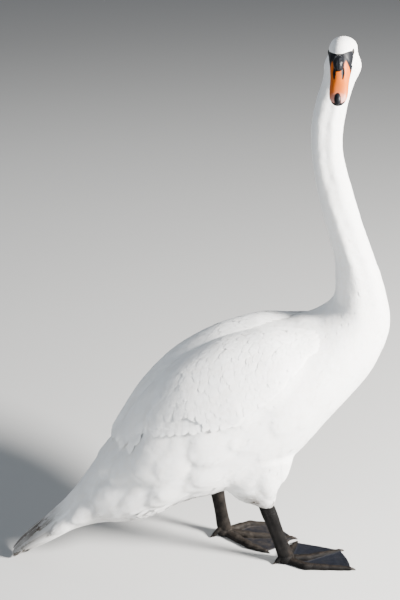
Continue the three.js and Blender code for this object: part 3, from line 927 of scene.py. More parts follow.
def vanes_on_ground(coat, roots, flow, sizes, place, tilt, lift):
    """Lays vanes from roots along the flow. sizes: length, width, spacing, depth.

    tilt is how far they turn to either side at random (degrees), lift how far the tips stand up, of the
    coat's depth.
    """
    own_rng = np.random.default_rng(21)
    n = len(roots)
    at, normal = ground.nearest(roots)
    d = unit(flow - (flow * normal).sum(1, keepdims=True) * normal)
    side = np.cross(normal, d)
    turn = np.radians(own_rng.normal(size=n) * tilt)[:, None]
    d = unit(d * np.cos(turn) + side * np.sin(turn))
    length = sizes[:, 0] * own_rng.uniform(0.85, 1.15, n)
    width = sizes[:, 1] * own_rng.uniform(0.88, 1.12, n)
    depth = sizes[:, 3]
    raised = own_rng.normal(size=n) * 0.02 * depth
    top = np.empty((n, coat.along, coat.across, 3))
    normals = np.empty_like(top)
    middle = coat.across // 2
    for k, u in enumerate(coat.u):
        if k:
            at, normal = ground.nearest(at + d * (length * (u - coat.u[k - 1]))[:, None])
            d = unit(d - (d * normal).sum(1, keepdims=True) * normal)
        side = np.cross(normal, d)
        half = (width / 2 * vane_outline(u, GROUND_ROOT))[:, None]
        height = -depth * (ROOT_DIP * (1 - u) ** 2.4 + TIP_DIP * ease(u, 0.7, 1)) + raised * u
        height += lift * depth * u ** 2
        edges = [ground.nearest(at + side * half * s) for s in (-1, 1)]
        for j, x in enumerate(coat.w):
            shares = x * (x - 1) / 2, 1 - x * x, x * (x + 1) / 2
            p, m = (edges[0][i] * shares[0] + mid * shares[1] + edges[1][i] * shares[2]
                    for i, mid in enumerate((at, normal)))
            m = unit(m)
            top[:, k, j] = p + m * (height + GROUND_CAMBER * width * (1 - x * x))[:, None]
            normals[:, k, j] = m
        # a vane bridges a hollow: its middle stays above the line between its edges
        above = ((top[:, k, middle] - (top[:, k, 0] + top[:, k, -1]) / 2) * normals[:, k, middle]).sum(1)
        top[:, k, middle] += normals[:, k, middle] * np.maximum(GROUND_CAMBER * width - above, 0)[:, None]
    coat.add(top, normals, place)


def moved(t, a, pt, pa, step):
    """Rib number and angle after a step in space, from how the surface runs along each of them."""
    tt, ta, aa = (pt * pt).sum(1), (pt * pa).sum(1), (pa * pa).sum(1)
    st, sa = (step * pt).sum(1), (step * pa).sum(1)
    det = tt * aa - ta * ta
    return t + (st * aa - sa * ta) / det, a + (sa * tt - st * ta) / det


def vanes_on_sheet(coat, surface, t, angle, side, heading, length, width, height, seed, from_tip=False,
                   curl=0.0, camber=0.022, widest=0.8, tilt=4.0, thickness=0.6, power=1.0):
    """Lays vanes on a surface of rib number and angle, from their roots or from their tips.

    heading turns from backwards towards the lower edge (degrees), curl turns on along the vane; height is the
    distance from the surface at root and at tip, (vanes, 2).
    """
    own_rng = np.random.default_rng(seed)
    n = len(t)
    place = map_place(t, angle)
    heading = np.radians(heading + own_rng.normal(size=n) * tilt)
    top = np.empty((n, coat.along, coat.across, 3))
    normals = np.empty_like(top)

    def local(t, a):
        p = surface(t, a)
        pt = (surface(t + RIB_STEP, a) - surface(t - RIB_STEP, a)) / (2 * RIB_STEP)
        pa = surface(t, a + 0.5) - surface(t, a - 0.5)
        out = unit(np.cross(pt, pa))
        centre = between(BODY_ROWS, np.clip(t, 0, LAST_RIB))[:, :3]
        out *= np.where(((p - centre) * out).sum(1) > 0, 1, -1)[:, None]
        return p, pt, pa, out

    order = range(coat.along)[::-1] if from_tip else range(coat.along)
    for k in order:
        u = coat.u[k]
        _, pt, pa, out = local(t, angle)
        back = unit(-pt)
        down = unit(np.cross(out, back))
        down *= np.sign((down * pa * -side).sum(1, keepdims=True))
        turn = (heading + np.radians(curl) * (u - 0.4))[:, None]
        d = unit(back * np.cos(turn) + down * np.sin(turn))
        across = np.cross(out, d)
        half = width / 2 * vane_outline(u, SHEET_ROOT, widest)
        rise = height[:, 1] + (height[:, 0] - height[:, 1]) * (1 - u) ** power
        for j, x in enumerate(coat.w):
            q, _, _, m = local(*moved(t, angle, pt, pa, across * (half * x)[:, None]))
            top[:, k, j] = q + m * (rise + camber * width * (1 - x * x))[:, None]
            normals[:, k, j] = m
        if k != order[-1]:
            follow = k - 1 if from_tip else k + 1
            t, angle = moved(t, angle, pt, pa, d * (length * (coat.u[follow] - u))[:, None])
    coat.add(top, normals, place, thickness)


# ---- materials


class Nodes:
    """Short names for building a material's nodes."""

    def __init__(self, mat):
        self.tree = mat.node_tree
        self.inputs = self.tree.nodes["Principled BSDF"].inputs

    def new(self, kind, **values):
        node = self.tree.nodes.new(kind)
        for key, value in values.items():
            if key in node.inputs:
                node.inputs[key].default_value = value
            else:
                setattr(node, key, value)
        return node

    def link(self, out, into):
        self.tree.links.new(out, into)

    def number(self, name):
        return self.new("ShaderNodeAttribute", attribute_name=name).outputs["Fac"]

    def mix(self, share, a, b):
        """A colour between a and b: each a colour or a socket."""
        node = self.new("ShaderNodeMix", data_type="RGBA")
        self.link(share, node.inputs["Factor"])
        for value, socket in ((a, node.inputs[6]), (b, node.inputs[7])):
            if isinstance(value, tuple):
                socket.default_value = (*value, 1)
            else:
                self.link(value, socket)
        return node.outputs[2]

    def place(self):
        return self.new("ShaderNodeTexCoord").outputs["Object"]

    def noise(self, scale, detail=3, rough=0.5):
        node = self.new("ShaderNodeTexNoise", Scale=scale, Detail=detail, Roughness=rough)
        self.link(self.place(), node.inputs["Vector"])
        return node.outputs["Fac"]

    def span(self, value, low, high, to_low=0.0, to_high=1.0):
        node = self.new("ShaderNodeMapRange")
        for key, number in zip(("From Min", "From Max", "To Min", "To Max"), (low, high, to_low, to_high)):
            node.inputs[key].default_value = number
        self.link(value, node.inputs["Value"])
        return node.outputs["Result"]

    def speckled(self, scale, detail, low, high, a, b):
        """Colours a and b in soft spots."""
        return self.mix(self.span(self.noise(scale, detail), low, high), a, b)

    def math(self, operation, a, b=None):
        node = self.new("ShaderNodeMath", operation=operation)
        for value, socket in zip((a, b), node.inputs):
            if value is None:
                continue
            if isinstance(value, (int, float)):
                socket.default_value = value
            else:
                self.link(value, socket)
        return node.outputs[0]

    def bump(self, height, strength, distance):
        node = self.new("ShaderNodeBump", Strength=strength, Distance=distance)
        self.link(height, node.inputs["Height"])
        self.link(node.outputs["Normal"], self.inputs["Normal"])


def material(name, color, roughness, **sockets):
    """A new material, and the short names for building its nodes."""
    mat = bpy.data.materials.new(name)
    mat.use_nodes = True
    n = Nodes(mat)
    n.inputs["Base Color"].default_value = (*color, 1)
    n.inputs["Roughness"].default_value = roughness
    for socket, value in sockets.items():
        n.inputs[socket.replace("_", " ")].default_value = value
    return mat, n


# the last of these colours is brown stain and also painted shade
WHITE, CREAM, STAIN_AND_SHADE = (0.86, 0.855, 0.84), (0.83, 0.80, 0.75), (0.06, 0.044, 0.031)
BILL_BLACK = (0.0022, 0.0026, 0.0036)
# The fine lines of a vane, which slant from its shaft to its edges, and the shaft's half width.
BARBS = {"slant": 2.6, "pace": 75.0, "height": 0.25, "shaft": 0.06}
FINE, STRENGTH = 0.0004, 0.25  # height (m) and strength of the relief of feathers and skin


def plumage_material():
    mat, n = material("plumage", WHITE, 0.8, Specular_IOR_Level=0.25, Sheen_Weight=0.12, Sheen_Roughness=0.5,
                      Subsurface_Weight=0.28, Subsurface_Scale=0.006, Subsurface_Radius=(1.0, 0.95, 0.9))
    tint = n.mix(n.span(n.number("chance"), 0.3, 1.0, 0.0, 0.5), WHITE, CREAM)
    # brown where stain and painted shade are marked
    n.link(n.mix(n.number("soil"), tint, STAIN_AND_SHADE), n.inputs["Base Color"])
    split = n.new("ShaderNodeSeparateXYZ")
    n.link(n.new("ShaderNodeUVMap", uv_map="Vane").outputs["UV"], split.inputs["Vector"])
    across = n.math("ABSOLUTE", split.outputs["X"])
    along = n.math("SUBTRACT", n.math("MULTIPLY", split.outputs["Y"], BARBS["slant"]), across)
    barb = n.math("SINE", n.math("MULTIPLY", along, BARBS["pace"]))
    shaft = n.span(across, 0.0, BARBS["shaft"], 1.0, 0.0)
    n.bump(n.math("ADD", n.math("MULTIPLY", barb, BARBS["height"]), shaft), STRENGTH, FINE)
    return mat


def skin_material():
    mat, n = material("skin", WHITE, 0.7, Specular_IOR_Level=0.14)
    # brown where stain and painted shade are marked
    under = n.mix(n.number("soil"), CREAM, STAIN_AND_SHADE)
    shade = n.speckled(220, 2, 0.35, 0.7, BILL_BLACK, (0.0055, 0.006, 0.0078))
    n.link(n.mix(n.number("bare"), under, shade), n.inputs["Base Color"])
    n.link(n.span(n.number("bare"), 0, 1, 0.8, 0.5), n.inputs["Roughness"])
    n.bump(n.noise(900, 3), STRENGTH, FINE)
    return mat


PLUMAGE, SKIN = plumage_material(), skin_material()

# ---- the skin piece

LID_SWELL = {"radius": 6.2, "width": 1.3, "height": 0.9}  # the skin's swell round the eye
SOCKET = {"radius": 5.6, "edge": 1, "depth": 2.5}  # the hollow behind the eye ball
FLESH = ["tail", "trunk", "neck_base", "neck_lower", "neck_middle", "neck_upper", "wing_left", "wing_right",
         "head", "thigh_left", "thigh_right"]

local = to_head(co)
bare = bare_face(local) * near_eyes(co)
depth = smoothed(skin, sizes[:, 3], 6)[:, 0]
normals = normals_of(skin)
inset = co - normals * (depth * (1 - bare))[:, None]
from_eye = length_of(local[:, [0, 2]])
face_side = (np.abs(local[:, 1]) > 10) & near_eyes(co)
swell = bell(from_eye, LID_SWELL["radius"], LID_SWELL["width"]) * face_side
inset += normals * (swell * LID_SWELL["height"])[:, None]
sunk = face_side * ease(-from_eye, -SOCKET["radius"], SOCKET["edge"] - SOCKET["radius"])
inset -= normals * (sunk * SOCKET["depth"])[:, None]
bare = np.maximum(bare, face_side * ease(-from_eye, -LID_SWELL["radius"] - 1, -LID_SWELL["radius"]))
inset[:, 2] = np.maximum(inset[:, 2], 0.6)
set_co(skin, inset)
# the bare black face, and the marks of stain and painted shade
mark(skin, bare=bare, soil=soil(inset))
skin.data.polygons.foreach_set("use_smooth", np.ones(len(skin.data.polygons), bool))
finish(skin, SKIN, "plumage", *FLESH)

# ---- the coat over the body

TRIES = 4.5  # random places tried for each vane that would fit
TIGHT = 0.82  # least distance of two roots, of their spacing
NECK_FROM = 14.2  # rib number at which the coat of the neck begins
TILT = 6  # how far vanes turn to either side at random (degrees)
RUFFLE = {"tilt": 12, "lift": 0.6}  # and how much further they turn, and how far they stand up, where ruffled


def wanted_roots():
    """Roots of the body's coat, thinned to their spacing, with all that coat_at tells of them."""
    c = ground.points[ground.corners]
    spacing = coat_at(c.mean(1), 1)[1][:, 2]
    area = np.maximum(length_of(np.cross(c[:, 2] - c[:, 0], c[:, 3] - c[:, 1])) / 2, 1e-6)
    weight = area / spacing ** 2
    tries = int(weight.sum() * TRIES)
    own_rng = np.random.default_rng(11)
    chosen = own_rng.choice(len(c), tries, p=weight / weight.sum())
    a, b = own_rng.uniform(size=(2, tries, 1))
    k = c[chosen]
    points = k[:, 0] * (1 - a) * (1 - b) + k[:, 1] * a * (1 - b) + k[:, 2] * a * b + k[:, 3] * (1 - a) * b
    points = points[thinned(points, spacing[chosen] * TIGHT, 12)]
    flow, sizes, part, own, place = coat_at(points)
    local = to_head(points)
    out = (bare_face(local) > 0.4) | (local[:, 0] > 26)
    out |= (length_of(local[:, [0, 2]]) < 5.5) & (np.abs(local[:, 1]) > 12)
    out &= near_eyes(points)
    out |= hidden_by_wing(part, own)
    out |= (part >= THIGH_RIGHT) & (own[:, 0] > 0.985)
    out |= points[:, 2] < 1.5
    return [values[~out] for values in (points, flow, sizes, part, own, place)]


roots, flow, sizes, part, own, place = wanted_roots()
on_neck = (part == BODY) & (own[:, 0] > NECK_FROM)
on_trunk = (part != HEAD) & ~on_neck
# The feathers of the ankles and between the legs are ruffled.
ruffled = np.where(part >= THIGH_RIGHT, ease(own[:, 0], 0.6, 0.9), 0.0)
between_legs = ease(-roots[:, 2], -185, -150) * ease(roots[:, 0], -235, -185) * (part == BODY)
ruffled = np.maximum(ruffled, between_legs)[on_trunk]
coats = []
for name, here, along, ruff in (
    ("head", part == HEAD, 4, 0),
    ("neck", on_neck, 5, 0),
    ("trunk", on_trunk, 7, ruffled),
):
    coat = Coat("coat_" + name, along, 3, False)
    tilt, lift = TILT + RUFFLE["tilt"] * ruff, RUFFLE["lift"] * ruff
    vanes_on_ground(coat, roots[here], flow[here], sizes[here], place[here], tilt, lift)
    coats.append(coat)

# ---- wings

# By rib number: length, width, spacing of the small feathers of the wing.
WING_RIBS = [5.5, 6.2, 7, 8, 9, 10.5, 11.7]
WING_SIZES = [
    [80, 24, 11],
    [80, 25, 11.5],
    [74, 24, 11],
    [62, 20.5, 9.4],
    [49, 17, 7.8],
    [36, 13, 6.2],
    [27, 10, 5.0],
]
# Rows of large feathers, the lowest layer first: how many, then from front to back the rib numbers and places
# between the wing's edges of their tips, headings (degrees), lengths, widths, heights of the roots and of the
# tips, and the curl of all (degrees).
WING_ROWS = [
    (15, (8.5, 5.7), (0.98, 1.03, 1.04, 0.96, 0.78), (52, 28), (90, 165), (27, 34), (-7, -6), (-3, -1.2), 16),
    (12, (8.5, 6.1), (0.87, 0.86, 0.82), (50, 28), (96, 128), (29, 34), (-6, -5.5), (-1.8, -0.8), 16),
    (9, (7.4, 5.6), (0.72, 0.36, 0.06), (34, 4), (120, 160), (28, 27), (-6, -5), (-1.3, -0.4), 8),
    (8, (8.2, 6.2), (0.68, 0.42, 0.18), (36, 8), (96, 124), (27, 27), (-5, -5), (-0.9, -0.2), 8),
]
COVERT_TRIES = 11000
COVERT_ROOT = 3.4  # how far a small feather's root lies under its tip


def wing_coat(side, name):
    """The rows of large feathers of one wing, and the small feathers in front of them."""
    def surface(t, a):
        return body_point(t, a, wing_height(t, a, side))

    flights = Coat(name + "_flights", 14, 7, True)
    own_rng = np.random.default_rng(31)
    for number, (count, ribs, vs, heading, length, width, root, tip, curl) in enumerate(WING_ROWS):
        at = np.linspace(0, 1, count) + own_rng.uniform(-0.3, 0.3, count) / count
        t = ribs[0] + (ribs[1] - ribs[0]) * at
        v = steps(at, np.linspace(0, 1, len(vs)), vs) + own_rng.normal(size=count) * 0.02
        height = np.stack([np.linspace(*root, count), np.linspace(*tip, count)], -1)
        height[:, 1] += own_rng.uniform(-0.35, 0.35, count)
        length = np.linspace(*length, count) * own_rng.uniform(0.88, 1.1, count)
        width = np.linspace(*width, count) * own_rng.uniform(0.88, 1.12, count)
        heading = np.linspace(*heading, count)
        vanes_on_sheet(flights, surface, t, on_wing(t, v, side), side, heading, length, width, height,
                       34 + number, from_tip=True, curl=curl)

    coverts = Coat(name + "_coverts", 8, 5, True)
    t, v = own_rng.uniform(5.7, 11.65, COVERT_TRIES), own_rng.uniform(-0.1, 0.92, COVERT_TRIES)
    angle = on_wing(t, v, side)
    size = steps(t, WING_RIBS, WING_SIZES) * np.where(v > 0.6, 0.85, np.where(v < 0.3, 1.1, 1.0))[:, None]
    kept = thinned(surface(t, angle), size[:, 2], 32)
    before_rows = (v < 0.58 + 0.32 * ease(t, 8.0, 8.9)) & (t > 6.5 + 0.3 * v)
    kept = kept[before_rows[kept]]
    t, v, angle, size = t[kept], v[kept], angle[kept], size[kept]
    heading = steps(v, [0, 0.2, 0.5, 0.9], [4, 14, 34, 44]) * (1 - 0.5 * ease(t, 10, 11.5))
    heading *= 1 - 0.6 * ease(t, 7.8, 8.8) * ease(v, 0.45, 0.85)
    tip = own_rng.normal(size=len(t)) * 0.12 - 0.25 - 0.5 * ease(t, 10, 11.6)
    tip -= 1.6 * ease(v, 0.72, 0.92) * ease(t, 8, 8.8)
    length, width = (size[:, k] * own_rng.uniform(0.85, 1.15, len(t)) for k in (0, 1))
    height = np.stack([tip - COVERT_ROOT, tip], -1)
    vanes_on_sheet(coverts, surface, t, angle, side, heading, length, width, height, 33, curl=6, tilt=6,
                   camber=0.009, widest=0.68, power=2.3, thickness=0.35)
    coats.extend((flights, coverts))


wing_coat(-1, "coat_wing_right")
wing_coat(1, "coat_wing_left")

# ---- tail

TAIL_STEERING = 16  # on the upper side; two fewer below
TAIL_WIDTH = 17.0


def tail_coat():
    """The steering feathers: a fan above, and one below it."""
    def surface(t, a):
        return body_point(t, a, -0.5)

    feathers = Coat("coat_tail_feathers", 14, 7, True)
    for count, ends, below in ((TAIL_STEERING, (16, 164), 0), (TAIL_STEERING - 2, (-24, -156), 1)):
        off = np.abs(np.linspace(-1, 1, count))
        t = 0.02 + (0.5 + 0.5 * off if below else 0.25 + 0.5 * off ** 1.5) * np.linspace(0.9, 1.1, count)
        length = (120 if below else 150) * (1 + 0.06 * np.cos(np.arange(count) * 2.4))
        height = np.stack([np.full(count, -5), 0.4 + 1.4 * (1 - off)], -1)
        angle, width = np.linspace(*ends, count), np.full(count, TAIL_WIDTH)
        vanes_on_sheet(feathers, surface, t, angle, 1, 0, length, width, height, 41 + below, from_tip=True,
                       widest=0.76, thickness=0.8)
    coats.append(feathers)


tail_coat()

for coat in coats:
    coat.build()

# ---- bill

# the last colour is the tip's pale pink, and also a painted highlight on it
ORANGE, PINK, PALE_AND_HIGHLIGHT = (0.36, 0.072, 0.0002), (0.36, 0.082, 0.02), (0.40, 0.21, 0.18)
# The black base of the upper bill: its edge by height on the sides, and its half width along the top.
MASK_EDGE = ((-23, -14.5, -6, 0, 7, 12), (46, 38.5, 36, 34.6, 31.2, 30))
MASK_TOP = ((31, 37.8, 44.4, 49.6, 51.5), (12.3, 10.2, 9.6, 8.4, 0))
NOSTRIL = {"path": ((46, 7.4), (53, 7.8), (64, 7.6)), "half": (2.2, 2.3, 0.9), "deep": 1.3}
TOMIUM = 1.7  # height of the black cutting edge
LAMELLA = {"pitch": 2.1, "height": 0.14}  # the comb of fine plates along it
NAIL_BLACK = (99.5, 10.5, 6.2)  # the black round the nail: where its middle is, half length, half width


def bill_material(name, roughness):
    mat, n = material(name, ORANGE, roughness, Specular_IOR_Level=0.16)
    warm = n.mix(n.span(n.noise(140, 4), 0.35, 0.7, 0, 0.2), ORANGE, PINK)
    # the pale tip: pink tone with a painted highlight
    pale = n.mix(n.number("pale"), n.mix(n.number("tip"), warm, PINK), PALE_AND_HIGHLIGHT)
    dark = n.speckled(260, 3, 0.4, 0.7, BILL_BLACK, (0.0055, 0.006, 0.008))
    n.link(n.mix(n.number("black"), pale, dark), n.inputs["Base Color"])
    n.link(n.span(n.noise(500, 3), 0.3, 0.7, roughness - 0.06, roughness + 0.1), n.inputs["Roughness"])
    n.bump(n.noise(700, 4, 0.6), 0.2, 0.0004)
    return mat


def horn_material(name, low, high, roughness=0.4):
    mat, n = material(name, low, roughness, Specular_IOR_Level=0.13)
    n.link(n.speckled(320, 3, 0.4, 0.68, low, high), n.inputs["Base Color"])
    n.link(n.span(n.noise(600, 2), 0.3, 0.7, roughness - 0.05, roughness + 0.1), n.inputs["Roughness"])
    n.bump(n.noise(900, 3), 0.2, 0.0003)
    return mat


BILL = bill_material("bill_skin", 0.42)
HORN = horn_material("black_horn", BILL_BLACK, (0.005, 0.0055, 0.0072))


def horn_piece(name, node, local, faces):
    finish(faces_object(name, from_head(local), faces), HORN, "horn", node)


def loft(ribs, first, rings, around, **shape):
    """Points, in the head's own axes, and faces of a loft that ends at the last of the ribs."""
    at, angle = grid(np.linspace(first, len(ribs) - 1, rings), np.arange(around) * 360 / around)
    return head_points(ribs, at, angle, **shape).reshape(-1, 3), tube_faces(rings, around)


def upper_bill():
    local, faces = loft(UPPER_BILL_RIBS, 0.55, 150, 120, power=2.4, waist=0.1)
    x, y, z = local.T
    above = z - np.interp(x, *np.array(UPPER_BILL_RIBS).T[:2])  # height over the cutting edge
    upper = above > 3
    path_x, path_y = np.array(NOSTRIL["path"]).T
    along = ease(x, path_x[0] - 2.5, path_x[0] + 1.5) * ease(-x, -path_x[-1] - 1.2, -path_x[-1] + 3)
    beside = np.abs(y) - np.interp(x, path_x, path_y)
    off = np.abs(beside) / np.interp(x, path_x, NOSTRIL["half"])
    slot_depth = along * ease(-off, -1.15, -0.35) * upper
    rim = along * bell(off, 1.55, 0.45) * upper
    groove = bell(beside, 0, 3.4) * ease(-x, -78, -60) * ease(x, 40, 47) * upper
    raised = 0.12 * rim - 0.5 * groove - NOSTRIL["deep"] * slot_depth
    edge = ease(-above, -TOMIUM - 1.5, -TOMIUM + 0.5) * ease(x, 40, 50) * ease(-x, -96, -88)
    comb = np.sin(x * 2 * math.pi / LAMELLA["pitch"]) * LAMELLA["height"] * edge
    middle, half_length, half_width = NAIL_BLACK
    black = np.max([
        ease(np.interp(z, *MASK_EDGE) - x, -0.5, 0.5),
        ease(np.interp(x, *MASK_TOP) - np.abs(y), -0.4, 0.5) * (x < MASK_TOP[0][-1]) * upper,
        np.clip(slot_depth * 1.6 + along * ease(-off, -1.5, -1.1) * upper, 0, 1),
        ease(-above, -TOMIUM - 0.4, -TOMIUM + 0.4),
        ease(x, 96.5, 98.5) * ease(-z, 26.5, 28.5),
        ease(-np.hypot((x - middle) / half_length, y / half_width), -1.06, -0.94) * (above > 1),
    ], axis=0)
    local = local + np.stack([0 * x, np.sign(y) * comb, raised], -1)
    obj = faces_object("upper_bill", from_head(local), faces)
    # the paler tip by the nail is pink tone with a painted highlight
    mark(obj, black=black, tip=ease(x + 1.5 * waves(local, 9, 61), 72, 94) * 0.8,
         pale=ease(x + 2 * waves(local, 7, 62), 86, 101) * 0.85)
    finish(obj, BILL, "bill", "bill_upper")


def ball_points(at, radii, pitch, rings, around):
    """Points of an ellipsoid in the head's own axes, and the directions of its rays before it is turned."""
    lat, lon = grid(np.radians(np.linspace(-89, 89, rings)), ring(around))
    rays = np.stack([np.cos(lat) * np.cos(lon), np.cos(lat) * np.sin(lon), np.sin(lat)], -1).reshape(-1, 3)
    return rays * radii @ turned(pitch, "Y").T + at, rays


def knob():
    local, rays = ball_points(**KNOB, rings=72, around=96)
    wrinkle = waves(local, 7.5, 63) * 0.28 + waves(local, 3.2, 64) * 0.09
    cleft = -0.55 * bell(local[:, 1], 0, 1.6) * ease(rays[:, 2], 0.1, 0.7)
    horn_piece("knob", "bill_knob", local + rays * (wrinkle + cleft - 0.2)[:, None], tube_faces(72, 96))


def nail():
    local, rays = ball_points(**NAIL, rings=56, around=80)
    ridges = 0.15 + 0.03 * np.cos(rays[:, 1] * 14)
    horn_piece("bill_tip_nail", "bill_nail", local - rays * ridges[:, None], tube_faces(56, 80))


upper_bill()
horn_piece("lower_bill", "bill_lower", *loft(LOWER_BILL_RIBS, 0, 110, 72, power=2.4, waist=0.8, grow=-0.25))
knob()
nail()

# ---- eyes and lids

# The ring of the eye's edge, and the section of the lid round it: how far out from the ring and off the ball.
LID = {
    "radius": (4.8, 4.3),
    "profile": [(-0.5, 0), (-0.2, 0.4), (0.3, 0.5), (0.75, 0.1), (1.1, -1), (1.3, -3.2), (0.4, -4),
                (-0.4, -1.5)],
}
LID_STEPS, LID_CORNERS = 96, 20  # round the eye, and round the section
PUPIL_EDGE = (0.945, 0.955)  # cosine of the angle between the eye's axis and the edge of the pupil


def eye_material():
    mat, n = material("eye", (0.012, 0.006, 0.004), 0.06, Coat_Weight=1.0, Coat_Roughness=0.02)
    iris = n.speckled(900, 3, 0.35, 0.7, (0.006, 0.0026, 0.0014), (0.015, 0.0065, 0.003))
    n.link(n.mix(n.number("pupil"), iris, (0.002, 0.002, 0.002)), n.inputs["Base Color"])
    return mat


def lid_material():
    mat, n = material("lid", BILL_BLACK, 0.5, Specular_IOR_Level=0.2)
    n.link(n.speckled(700, 3, 0.4, 0.7, BILL_BLACK, (0.010, 0.010, 0.011)), n.inputs["Base Color"])
    n.bump(n.noise(1600, 3), 0.3, 0.0003)
    return mat


EYE_SHINE, LID_SKIN = eye_material(), lid_material()


def eye_ball(sign, side):
    _, rays = ball_points((0, 0, 0), (1, 1, 1), 0, 64, 64)
    outward = rays[:, 2]
    bulge = 1 + 0.035 * ease(outward, 0.84, 0.98)
    local = rays[:, [0, 2, 1]] * [1, sign, 1] * EYE["radius"] * bulge[:, None] * 0.985
    local += [0, sign * EYE["side"], 0]
    obj = faces_object("eye_ball_" + side, from_head(local), [f[::-sign] for f in tube_faces(64, 64)])
    mark(obj, pupil=ease(outward, *PUPIL_EDGE))
    finish(obj, EYE_SHINE, "eye", "eye_" + side)


def eyelid(sign, side):
    turn = ring(LID_STEPS)[:, None]
    closed = LID["profile"] + LID["profile"][:1]
    corners = np.arange(LID_CORNERS) * len(LID["profile"]) / LID_CORNERS
    across, rise = steps(corners, np.arange(len(closed)), closed).T
    edge = np.stack([LID["radius"][0] * np.cos(turn), LID["radius"][1] * np.sin(turn)], -1)
    radius = length_of(edge)
    out = np.sqrt(EYE["radius"] ** 2 - radius ** 2)
    swell = 1 + 0.15 * np.sin(turn) + 0.08 * np.cos(turn * 11)
    x, z = np.moveaxis((radius + across * swell)[..., None] * (edge / radius[..., None]), -1, 0)
    y = sign * (EYE["side"] + (out + rise * np.where(rise > 0, swell, 1)))
    faces = []
    for i in range(LID_STEPS):
        here, after = i * LID_CORNERS, (i + 1) % LID_STEPS * LID_CORNERS
        for k in range(LID_CORNERS):
            other = (k + 1) % LID_CORNERS
            faces.append((here + k, here + other, after + other, after + k)[::-sign])
    local = np.stack([x, y, z], -1).reshape(-1, 3)
    finish(faces_object("eyelid_" + side, from_head(local), faces), LID_SKIN, "horn")


for sign, side in ((1, "left"), (-1, "right")):
    eye_ball(sign, side)
    eyelid(sign, side)

# ---- legs and feet

SHANK_SPAN = (-0.2, 0.97)  # of the shank's length: from up in the feathers down to the toes
SHANK_REACH = 24  # what is nearer to its axis than this belongs to the shank
TOE_BALL = {"height": 10, "radii": (17, 14, 13)}
KNUCKLES = np.array([0.36, 0.62, 0.84])  # of a toe's length
LEAST_HEIGHT = 0.05  # of the soles and claws over the floor


def turned_flat(x, y, turn):
    """Vectors turned round the vertical axis."""
    c, s = math.cos(turn), math.sin(turn)
    return np.stack([x * c - y * s, x * s + y * c, 0 * x], -1)


def shank_rings(leg):
    """Rings of the bare shank."""
    share = np.linspace(*SHANK_SPAN, 70)
    half = between(TARSUS[:, 1:], np.interp(share, TARSUS[:, 0], np.arange(len(TARSUS))))
    a = ring(40)
    spoke = turned_flat(half[:, :1] * np.cos(a), half[:, 1:] * np.sin(a), math.radians(leg["turn"]))
    return (leg["ankle"] + (leg["joint"] - leg["ankle"]) * share[:, None])[:, None, :] + spoke


def tube_rings(points, radii, around=28):
    """Rings along a line of points, with a narrower one beyond each end."""
    along = unit(np.gradient(points, axis=0))
    side = unit(np.stack([along[:, 1], -along[:, 0], 0 * along[:, 0]], -1))
    up = np.cross(side, along)
    a = ring(around)[None, :, None]
    rings = points[:, None] + radii[:, None, None] * (side[:, None] * np.cos(a) + up[:, None] * np.sin(a))
    ends = [points[0] - along[0] * radii[0] * 0.7, points[-1] + along[-1] * radii[-1] * 0.7]
    caps = [ends[k] + (rings[-k] - points[-k]) * 0.45 for k in (0, 1)]
    return np.concatenate([caps[:1], rings, caps[1:]])


def toe_points(leg, toe):
    """Root, knuckle and tip of a toe, on its sole's level."""
    flat = [leg["joint"][:2], *toe]
    return np.array([[x, y, r - SOLE_DEPTH] for (x, y), r in zip(flat, TOE_RADII)], float)


def toe_line(leg, toe, count=44):
    """The middle line of a toe and its radii, with a pad at each knuckle and a waist after it."""
    line = toe_points(leg, toe)
    at = np.concatenate([[0], np.cumsum(length_of(np.diff(line, axis=0)))])
    s = np.linspace(0, at[-1], count)
    radius = np.interp(s, at, TOE_RADII)
    for k in KNUCKLES * at[-1]:
        radius = radius * (1 + 0.09 * bell(s, k, 5.5) - 0.04 * bell(s - k, 11, 6))
    return steps(s, at, line), radius


def web_shell(leg, one, other, rows=44, across=30):
    """The web between two toes as a thin closed shell, folded along it and creased near its front edge."""
    a, b = (toe_line(leg, leg["toes"][name], rows)[0] for name in (one, other))
    reach = unit(np.append((unit(a[-1] - a[-9]) + unit(b[-1] - b[-9]))[:2], 0))
    w = np.linspace(0, 1, across)[None, :, None]
    s = np.linspace(0, 1, rows)[:, None, None]
    belly = 4 * w * (1 - w)
    flat = a[:, None] * (1 - w) + b[:, None] * w + reach * WEB["bulge"] * 4 * w * (1 - w) * s ** 4
    folds = np.sin(w * math.pi * 9) * 0.28 * s * belly + np.sin(s * 40 + 2 * w) * 0.22 * ease(s, 0.72, 0.8)
    crease = -0.8 * bell(s, 0.93, 0.018) * belly - 0.5 * bell(s, 0.86, 0.015) * belly
    height = WEB["top"] + 1.6 * (1 - belly) - 0.9 * belly + folds + crease
    bottom = np.full_like(height, WEB["bottom"])
    top, under = (np.concatenate([flat[..., :2], z], -1) for z in (height, bottom))
    return tube(np.concatenate([top, under[:, ::-1]], 1))


def scutes(run, pitch, level):
    """Scales one after the other along run."""
    return np.abs(np.sin(math.pi * run / pitch)) ** 0.5 - level


